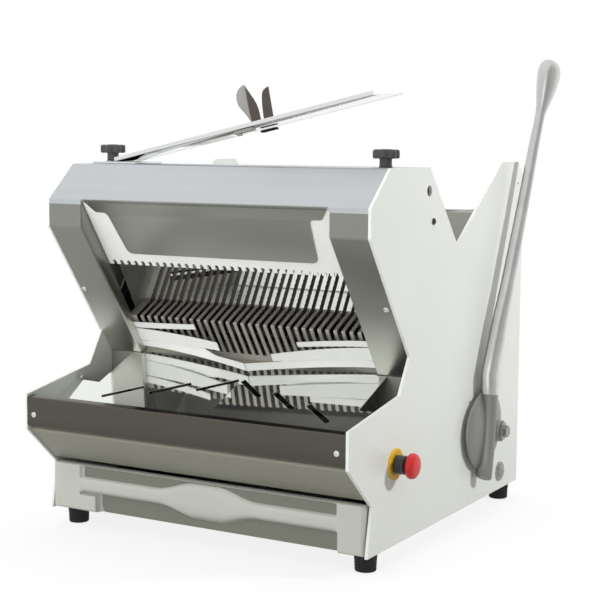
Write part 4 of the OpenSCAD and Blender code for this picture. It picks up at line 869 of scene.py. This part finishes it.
class SLICER_OT_lever(bpy.types.Operator):
    """Polished feed lever with its leaf hub, bar and paddle grip"""
    bl_idname = "slicer.lever"
    bl_label = "Feed lever"

    @staticmethod
    def station(x, y, z, half_w, half_t, lean):
        """One ring of the bar round a point of its axis."""
        slant = math.radians(lean)
        ring = []
        for k in range(32):
            turn = math.tau * k / 32
            side = half_w * math.sin(turn)
            ring.append((x + half_t * math.cos(turn), y + side * math.cos(slant), z - side * math.sin(slant)))
        return ring

    def execute(self, context):
        stations = [
            (327, 413, 47, 13, 13, 34), (327, 413.4, 48.6, 14.6, 14.6, 32), (327, 418, 76, 15, 15, 8),
            (327.5, 424, 120, 15, 15, 4), (328, 428, 168, 16, 15, 5), (328.4, 428, 194, 20, 15.2, 9),
            (329, 429, 226, 24.6, 15, 16), (330, 444, 268, 21.4, 14.2, 22), (331, 465.5, 324, 17, 13, 23.3),
            (332.4, 489, 376, 13.8, 12, 23.4), (334.4, 549, 512, 11.2, 10.6, 23.6),
            (336.5, 600, 637, 9.8, 9.4, 23.8), (337.6, 613, 668, 9.2, 8.8, 24), (338, 622, 688, 10, 9, 24),
            (338.4, 627.4, 698, 12.6, 10.2, 24), (338.8, 632.6, 709, 16, 12, 24), (339.2, 639, 723, 21, 15, 24),
            (339.6, 645.5, 738, 25.5, 17.4, 24), (340, 652, 753, 28.6, 19.2, 24),
            (340.2, 657.6, 765, 29.4, 19.6, 24), (340.4, 661.4, 773.4, 27, 18, 24),
            (340.5, 664.2, 779.4, 22, 14.5, 24), (340.6, 666, 783.2, 14.5, 9.5, 24), (340.7, 666.9, 785, 6, 4, 24)]
        bar = skinned([self.station(*s) for s in stations[5:]])
        socket = skinned([self.station(*s) for s in stations[:6]])
        foot = min(socket.faces, key=lambda f: f.calc_center_median().z)
        bmesh.ops.inset_region(socket, faces=[foot], thickness=2.6, depth=0)
        bmesh.ops.inset_region(socket, faces=[foot], thickness=0.4, depth=-9)
        outline = [(412, 200), (393, 190), (373, 177), (357.5, 158.6), (351, 137), (351.3, 124), (360.4, 99),
                   (374, 82.4), (387.4, 71), (402, 64), (444, 66), (468, 79.5), (480, 89), (491, 103), (497.4, 120),
                   (501, 137), (500.4, 152), (491.4, 171.5), (472, 190), (450, 202)]
        radii = [8, 20, 24, 24, 14, 14, 24, 20, 14, 12, 12, 10, 12, 14, 14, 12, 12, 18, 14, 8]
        rim = loop(outline, radii, 3)
        swell = ((317, 0.985), (318, 1), (320.6, 1), (322.2, 0.985), (323.8, 0.95), (327, 0.7), (329.4, 0.46),
                 (330.6, 0.28))
        middle = Vector((426, 132))
        hub = skinned([[(x, *(middle + (p - middle) * share)) for p in rim] for x, share in swell])
        boss = turned([(0, 0), (19, 0), (19, 17), (18, 18), (0, 18)], out_x(320, 470, 122))
        piece("cast_lever", bar, "casting", ["lever"], "lever", smooth=45)
        # The hub's darker colour is painted shade on the lever's cast alloy
        piece("leaf_hub", joined(socket, hub, boss), "hub_casting", ["lever"], "lever", smooth=45)
        dressed("plain_steel", "lever_bolt")
        return {"FINISHED"}


class SLICER_OT_stop(bpy.types.Operator):
    """Emergency stop: plate, collar, mushroom button and contact block"""
    bl_idname = "slicer.stop"
    bl_label = "Emergency stop"

    def execute(self, context):
        plate = turned([(11, 0), (25.5, 0), (25.5, 2), (24.6, 2.9), (23.6, 3), (20, 3), (19.4, 2.6), (11, 2.6)],
                       out_x(OUTER, *STOP_SPOT), 64)
        piece("stop_plate", plate, "yellow_plastic", ["estop_plate"])
        ring = [(6.9, 0), (11, 0), (11, 10), (15, 10), (15, 12)]
        for k in range(4):
            ring += [(14.2, 12.6 + 3 * k), (14.2, 13.8 + 3 * k), (15, 14.4 + 3 * k), (15, 15 + 3 * k)]
        ring += [(15, 25.4), (14, 26.6), (12.5, 27), (7.1, 27), (7.1, 13)]
        collar = turned(ring, out_x(303, *STOP_SPOT), 56)
        piece("stop_collar", collar, "black_plastic", ["estop_collar"])
        dome = [(0, 0), (6.9, 0), (6.9, 16), (12, 17), (17.5, 16.2), (19.4, 16.4), (20.3, 17.6), (20.5, 19.6),
                (20.2, 22.6), (19, 25.2), (16.6, 27.1), (13, 28.2), (8, 28.7), (0, 28.9)]
        button = turned(dome, out_x(320, *STOP_SPOT), 64)
        piece("stop_button", button, "red_plastic", ["estop_button"], "stop_button")
        dressed("black_plastic", "estop_contact_block")
        return {"FINISHED"}


class SLICER_OT_knobs(bpy.types.Operator):
    """Lobed knobs and their studs"""
    bl_idname = "slicer.knobs"
    bl_label = "Knobs"

    @staticmethod
    def knob(x, base, lobes):
        def ring(height, reach, hollow):
            row = []
            steps = lobes * 12
            for k in range(steps):
                a = math.tau * k / steps
                r = reach - hollow * (0.5 + 0.5 * math.cos(lobes * a)) ** 1.6
                row.append((x + r * math.cos(a), KNOB_DEPTH + r * math.sin(a), base + height))
            return row
        head = skinned([ring(*form) for form in (
            (14, 12, 1.2), (14, 19, 3), (14.6, 21, 3.4), (16.2, 22, 3.6), (25.2, 22, 3.6), (27.2, 21, 3.4),
            (28.3, 19, 3), (28.5, 16.5, 2.2), (27.9, 14.5, 1.6), (27.5, 11, 0.4))])
        spot = out_up(x, KNOB_DEPTH, base)
        stem = turned([(4.3, 0), (11, 0), (11, 1.6), (10, 2.4), (10, 13), (11, 14.4), (4.3, 14.4)], spot)
        cap = turned([(0, 26), (8.6, 26), (8.6, 28.2), (7.8, 28.9), (0, 29)], spot)
        return joined(head, stem, cap)

    def execute(self, context):
        lobes = context.scene.slicer_sizes.knob_lobes
        for side, x, base in (("left", -268, 599.4), ("right", 268, CROWN)):
            piece(f"lobed_{side}_knob", self.knob(x, base, lobes), "black_plastic", [f"{side}_knob"],
                  f"{side}_knob", smooth=34)
        dressed("bright_steel", "knob_studs")
        return {"FINISHED"}


class SLICER_OT_shovel(bpy.types.Operator):
    """Bagging shovel with its folded lip and bent leaves"""
    bl_idname = "slicer.shovel"
    bl_label = "Bagging shovel"

    @staticmethod
    def leaf(points, thick=1.2):
        """One half of a bent leaf, from its outline."""
        corners = [Vector(p) for p in points]
        across = sum(((p - corners[0]).cross(q - corners[0]) for p, q in zip(corners[1:], corners[2:])), Vector())
        return softened(prism(corners, across.normalized() * thick), 0.3, 2, 60)

    def execute(self, context):
        wide, end = 78, 521
        line = rounded([(0.6, 8), (0, 1), (wide, 1), (wide, 4)], [0, 1.6, 1.2, 0], 4)
        plate = folded(line, [10, 480, end], 0)
        for vert in plate.verts:
            if vert.co.x > end - 20:
                vert.co.x += 14 * smoothstep(0, wide, vert.co.y)
        thickened(plate, 1.2)
        foot = softened(block(-282, -190, 90, 168, CROWN, CROWN + 4), 0.8)
        piece("folded_shovel", joined(moved(plate, SHOVEL), foot), "mirror_sheet",
              ["shovel_plate", "shovel_foot"], "shovel")
        stop = softened(block(270, 300, 66, 77, -4, -0.3), 0.8)
        piece("shovel_stop", moved(stop, SHOVEL), "rubber", ["shovel_plate"], "shovel")
        bent = self.leaf([(294, 6, 7), (290.6, 6, 70), (280, 18, 71.5), (268, 25, 69), (261, 28, 62), (258.6, 29, 53),
                          (262, 26, 43), (271, 20, 33), (282, 13, 22)])
        clip = joined(softened(block(258, 294, 1.4, 14, -5.5, 0), 0.8), softened(block(262, 270, 3, 9, -9, -5), 0.6))
        piece("leaf_clip", moved(joined(bent, clip), SHOVEL), "plain_steel", ["bag_ears"], "shovel")
        leaves = joined(
            self.leaf([(294, 6, 7), (311.5, 6, 7), (311.2, 6, 14), (310.4, 6, 26.6), (308.4, 6, 35), (304.6, 6, 44.3),
                       (299.6, 6, 54), (295.4, 6, 62), (291.6, 6, 70)]),
            self.leaf([(317, 6, 7), (335.4, 6, 7), (336, 6, 57.6), (330, 6, 56.2), (325.4, 6, 53.6), (322.4, 6, 50),
                       (320.4, 6, 43), (318.6, 6, 32), (317.4, 6, 18)]),
            softened(block(290, 338, 4.4, 9, 2.2, 7.6), 0.6))
        piece("bent_leaves", moved(leaves, SHOVEL), "blade_steel", ["bag_ears"], "shovel")
        return {"FINISHED"}


class SLICER_OT_fasteners(bpy.types.Operator):
    """Socket screws, panel bolt and cable gland"""
    bl_idname = "slicer.fasteners"
    bl_label = "Fasteners"

    @staticmethod
    def screw(spot, radius=5.0, height=2.5):
        """A button head with a hexagon socket."""
        bm = bmesh.new()
        rings = []
        floor = 0.3
        for wide, high, sides in ((1, 0, 24), (1, 0.35, 24), (0.9, 0.72, 24), (0.68, 1, 24), (0.42, 1, 6),
                                  (0.42, floor, 6)):
            made = bmesh.ops.create_circle(bm, cap_ends=high == floor, segments=sides, radius=radius * wide,
                                           matrix=out_up(0, 0, height * high))["verts"]
            rings.append([e for e in bm.edges if all(v in made for v in e.verts)])
        for low, high in zip(rings, rings[1:]):
            bmesh.ops.bridge_loops(bm, edges=low + high)
        return moved(outward(bm), spot)

    def execute(self, context):
        heads = []
        for s in (-1, 1):
            heads.append(self.screw(out_front(s * 296, 82.4, 376, 35.84)))
            heads.append(self.screw(out_front(s * 290, APRON_FRONT, 175)))
        heads += [self.screw(out_x(-INNER, 83, z)) for z in (184, 216)]
        side = self.screw(out_x(OUTER, 221.6, 507.4), 5.6, 3)
        piece("panel_screw", side, "dark_steel", ["cover_screws"])
        piece("socket_screws", joined(*heads), "bright_steel", ["cover_screws"])
        bolt = turned([(0, 0), (17.5, 0), (17.5, 2.2), (16.8, 3), (11, 3), (10.8, 4.4), (9.6, 6.2), (7, 7.4),
                       (3.5, 7.9), (0, 8)], out_x(OUTER, 528, 34))
        piece("round_panel_bolt", bolt, "plain_steel", ["panel_bolts"])
        ring = [(2.6, 0), (13, 0), (13, 6), (11.4, 6.6), (11.4, 8)]
        for k in range(3):
            ring += [(10.8, 8.6 + 2.6 * k), (10.8, 9.4 + 2.6 * k), (11.3, 10 + 2.6 * k)]
        ring += [(9.6, 17), (7.6, 18), (2.6, 18)]
        nut = turned([(2.6, 0), (13, 0), (13, 18), (2.6, 18)], out_back(-200, 595, 60), 6)
        gland = joined(turned(ring, out_back(-200, 615, 60)), nut)
        piece("ribbed_gland", gland, "black_plastic", ["cable_gland"])
        return {"FINISHED"}


class SLICER_OT_feet(bpy.types.Operator):
    """Ribbed rubber feet"""
    bl_idname = "slicer.feet"
    bl_label = "Feet"

    def execute(self, context):
        shape = [(0, -32), (14.5, -32), (16.4, -31.4), (17.2, -30)]
        for k in range(3):
            r, z = 17 + 0.2 * k, -26 + 5 * k
            shape += [(r + 0.5, z - 1.6), (r, z - 0.8), (r, z + 0.8), (r + 0.6, z + 1.6)]
        shape += [(18.5, -8), (18.5, -1), (17.8, 0), (0, 0)]
        feet = [turned(shape, out_up(s * 284, y, 0), 40) for s in (-1, 1) for y in (45, 590)]
        piece("ribbed_feet", joined(*feet), "rubber", ["feet"], smooth=50)
        return {"FINISHED"}


class SLICER_OT_stage(bpy.types.Operator):
    """Pale floor, soft lamps and the camera"""
    bl_idname = "slicer.stage"
    bl_label = "Stage"

    @staticmethod
    def lamp(name, spot, aim, size, watts):
        data = bpy.data.lights.new(name, "AREA")
        data.shape = "RECTANGLE"
        data.size, data.size_y = size
        data.energy = watts
        thing = placed(name, data)
        thing.location = spot
        thing.rotation_euler = (Vector(aim) - Vector(spot)).to_track_quat("-Z", "Y").to_euler()
        thing.visible_glossy = False

    @staticmethod
    def seen(f):
        """Two switches: for rays straight from the camera, and for mirrored rays or rays through glass."""
        camera, glossy, through = (f.add("ShaderNodeLightPath", {}, f"Is {kind} Ray")
                                   for kind in ("Camera", "Glossy", "Transmission"))
        return camera, camera.maths("MAXIMUM", glossy, through)

    def floor(self):
        bm = bmesh.new()
        bmesh.ops.create_circle(bm, cap_ends=True, segments=96, radius=1.6)
        thing = placed("floor", meshed(bm, "floor"))
        material = bpy.data.materials.new("pale_floor")
        f = Finish(material)
        camera, glossy = self.seen(f)
        plain = f.add("ShaderNodeBsdfDiffuse", {"Color": f.blend(camera, (0.26, 0.26, 0.24), (0.92, 0.92, 0.92))})
        glow = f.add("ShaderNodeEmission", {"Color": (1, 1, 1, 1), "Strength": 1.0})
        both = f.add("ShaderNodeMixShader", {0: 0.82 * camera + 0.6 * glossy, 1: plain, 2: glow})
        reach = f.add("ShaderNodeVectorMath", {0: f.spot()}, "Value", operation="LENGTH")
        fade = f.ease(reach, 0.75, 1.45)
        clear = f.add("ShaderNodeBsdfTransparent", {})
        f.add_output("ShaderNodeOutputMaterial", f.add("ShaderNodeMixShader", {0: fade, 1: both, 2: clear}))
        thing.data.materials.append(material)

    def sky(self):
        world = bpy.data.worlds.new("studio")
        bpy.context.scene.world = world
        f = Finish(world)
        camera, glossy = self.seen(f)
        way = f.spot("Generated")
        x, y, z = (f.add("ShaderNodeSeparateXYZ", {"Vector": way}, key) for key in "XYZ")
        above = f.ease(z, 0.35, 0.85)
        bright = above.maths("MAXIMUM", above, f.ease(y, -0.25, 0.45))
        front = f.ease(x, -0.3, 0.7, 0.9, 0.75)
        room = f.add("ShaderNodeMix", {0: bright, 6: front, 7: (1, 1, 1, 1)}, 2, data_type="RGBA")
        aside = f.ease(x, 0.55, 0.85, 1.0, 0.65)
        ahead = f.add("ShaderNodeVectorMath", {0: way, 1: (0.5, -0.85, 0.1)}, "Value", operation="DOT_PRODUCT")
        strip = f.ease(ahead, 0.90, 0.975, 0.0, 0.8)
        fill_level = f.ease(x, 0.1, 0.8, 0.76, 0.27)
        fill = f.add("ShaderNodeBackground", {"Color": (0.98, 0.99, 1, 1), "Strength": fill_level})
        mirrored_room = f.add("ShaderNodeBackground", {"Color": room, "Strength": aside + strip})
        white = f.add("ShaderNodeBackground", {"Color": (1, 1, 1, 1), "Strength": 1.0})
        lit = f.add("ShaderNodeMixShader", {0: glossy, 1: fill, 2: mirrored_room})
        f.add_output("ShaderNodeOutputWorld", f.add("ShaderNodeMixShader", {0: camera, 1: lit, 2: white}))

    def execute(self, context):
        self.floor()
        self.sky()
        self.lamp("key", (-1.3, -1.7, 2.1), (0, 0, 0.4), (1.4, 1.4), 15)
        self.lamp("side", (3.2, 1.15, 1.8), (0.3, 0.0, 0.7), (0.3, 0.3), 70)
        self.lamp("top", (-0.1, 0.3, 2.4), (0, 0.05, 0.5), (1.8, 1.2), 18)
        self.lamp("low", (-0.2, -2.0, 0.5), (0, -0.2, 0.45), (1.6, 0.8), 15)
        data = bpy.data.cameras.new("photo_view")
        data.lens, data.sensor_width = LENS, SENSOR
        data.clip_start, data.clip_end = 0.05, 50
        camera = placed("photo_view", data)
        turn, rise, roll = (math.radians(a) for a in CAMERA_ANGLES)
        back = Vector((math.sin(turn) * math.cos(rise), -math.cos(turn) * math.cos(rise), math.sin(rise)))
        right = Vector((math.cos(turn), math.sin(turn), 0))
        up = back.cross(right)
        across = math.cos(roll) * right + math.sin(roll) * up
        upright = math.cos(roll) * up - math.sin(roll) * right
        pose = Matrix((across, upright, back)).transposed().to_4x4()
        pose.translation = MACHINE @ Vector(CAMERA_SPOT)
        camera.matrix_world = pose
        context.scene.camera = camera
        context.scene.view_settings.view_transform = "Standard"
        return {"FINISHED"}


class SLICER_PT_sidebar(bpy.types.Panel):
    """Lists the slicer's steps and settings"""
    bl_idname = "SLICER_PT_sidebar"
    bl_label = "Bread slicer"
    bl_space_type = "VIEW_3D"
    bl_region_type = "UI"
    bl_category = "Slicer"

    def draw(self, context):
        for step in STEPS:
            self.layout.operator(step.bl_idname)
        for group in (context.scene.slicer_sizes, context.scene.slicer_colours):
            box = self.layout.box()
            for key in group.__annotations__:
                box.prop(group, key)


STEPS = (SLICER_OT_panels, SLICER_OT_hood, SLICER_OT_guard, SLICER_OT_front, SLICER_OT_chute, SLICER_OT_blades,
         SLICER_OT_infeed, SLICER_OT_drive, SLICER_OT_drawer, SLICER_OT_lever, SLICER_OT_stop, SLICER_OT_knobs,
         SLICER_OT_shovel, SLICER_OT_fasteners, SLICER_OT_feet, SLICER_OT_stage)
CLASSES = (SlicerSizes, SlicerColours, *STEPS, SLICER_PT_sidebar)


def register():
    for item in CLASSES:
        bpy.utils.register_class(item)
    bpy.types.Scene.slicer_sizes = PointerProperty(type=SlicerSizes)
    bpy.types.Scene.slicer_colours = PointerProperty(type=SlicerColours)


def unregister():
    del bpy.types.Scene.slicer_colours
    del bpy.types.Scene.slicer_sizes
    for item in reversed(CLASSES):
        bpy.utils.unregister_class(item)


def main():
    register()
    for step in STEPS:
        getattr(bpy.ops.slicer, step.bl_idname.split(".")[1])()


if __name__ == "__main__":
    main()
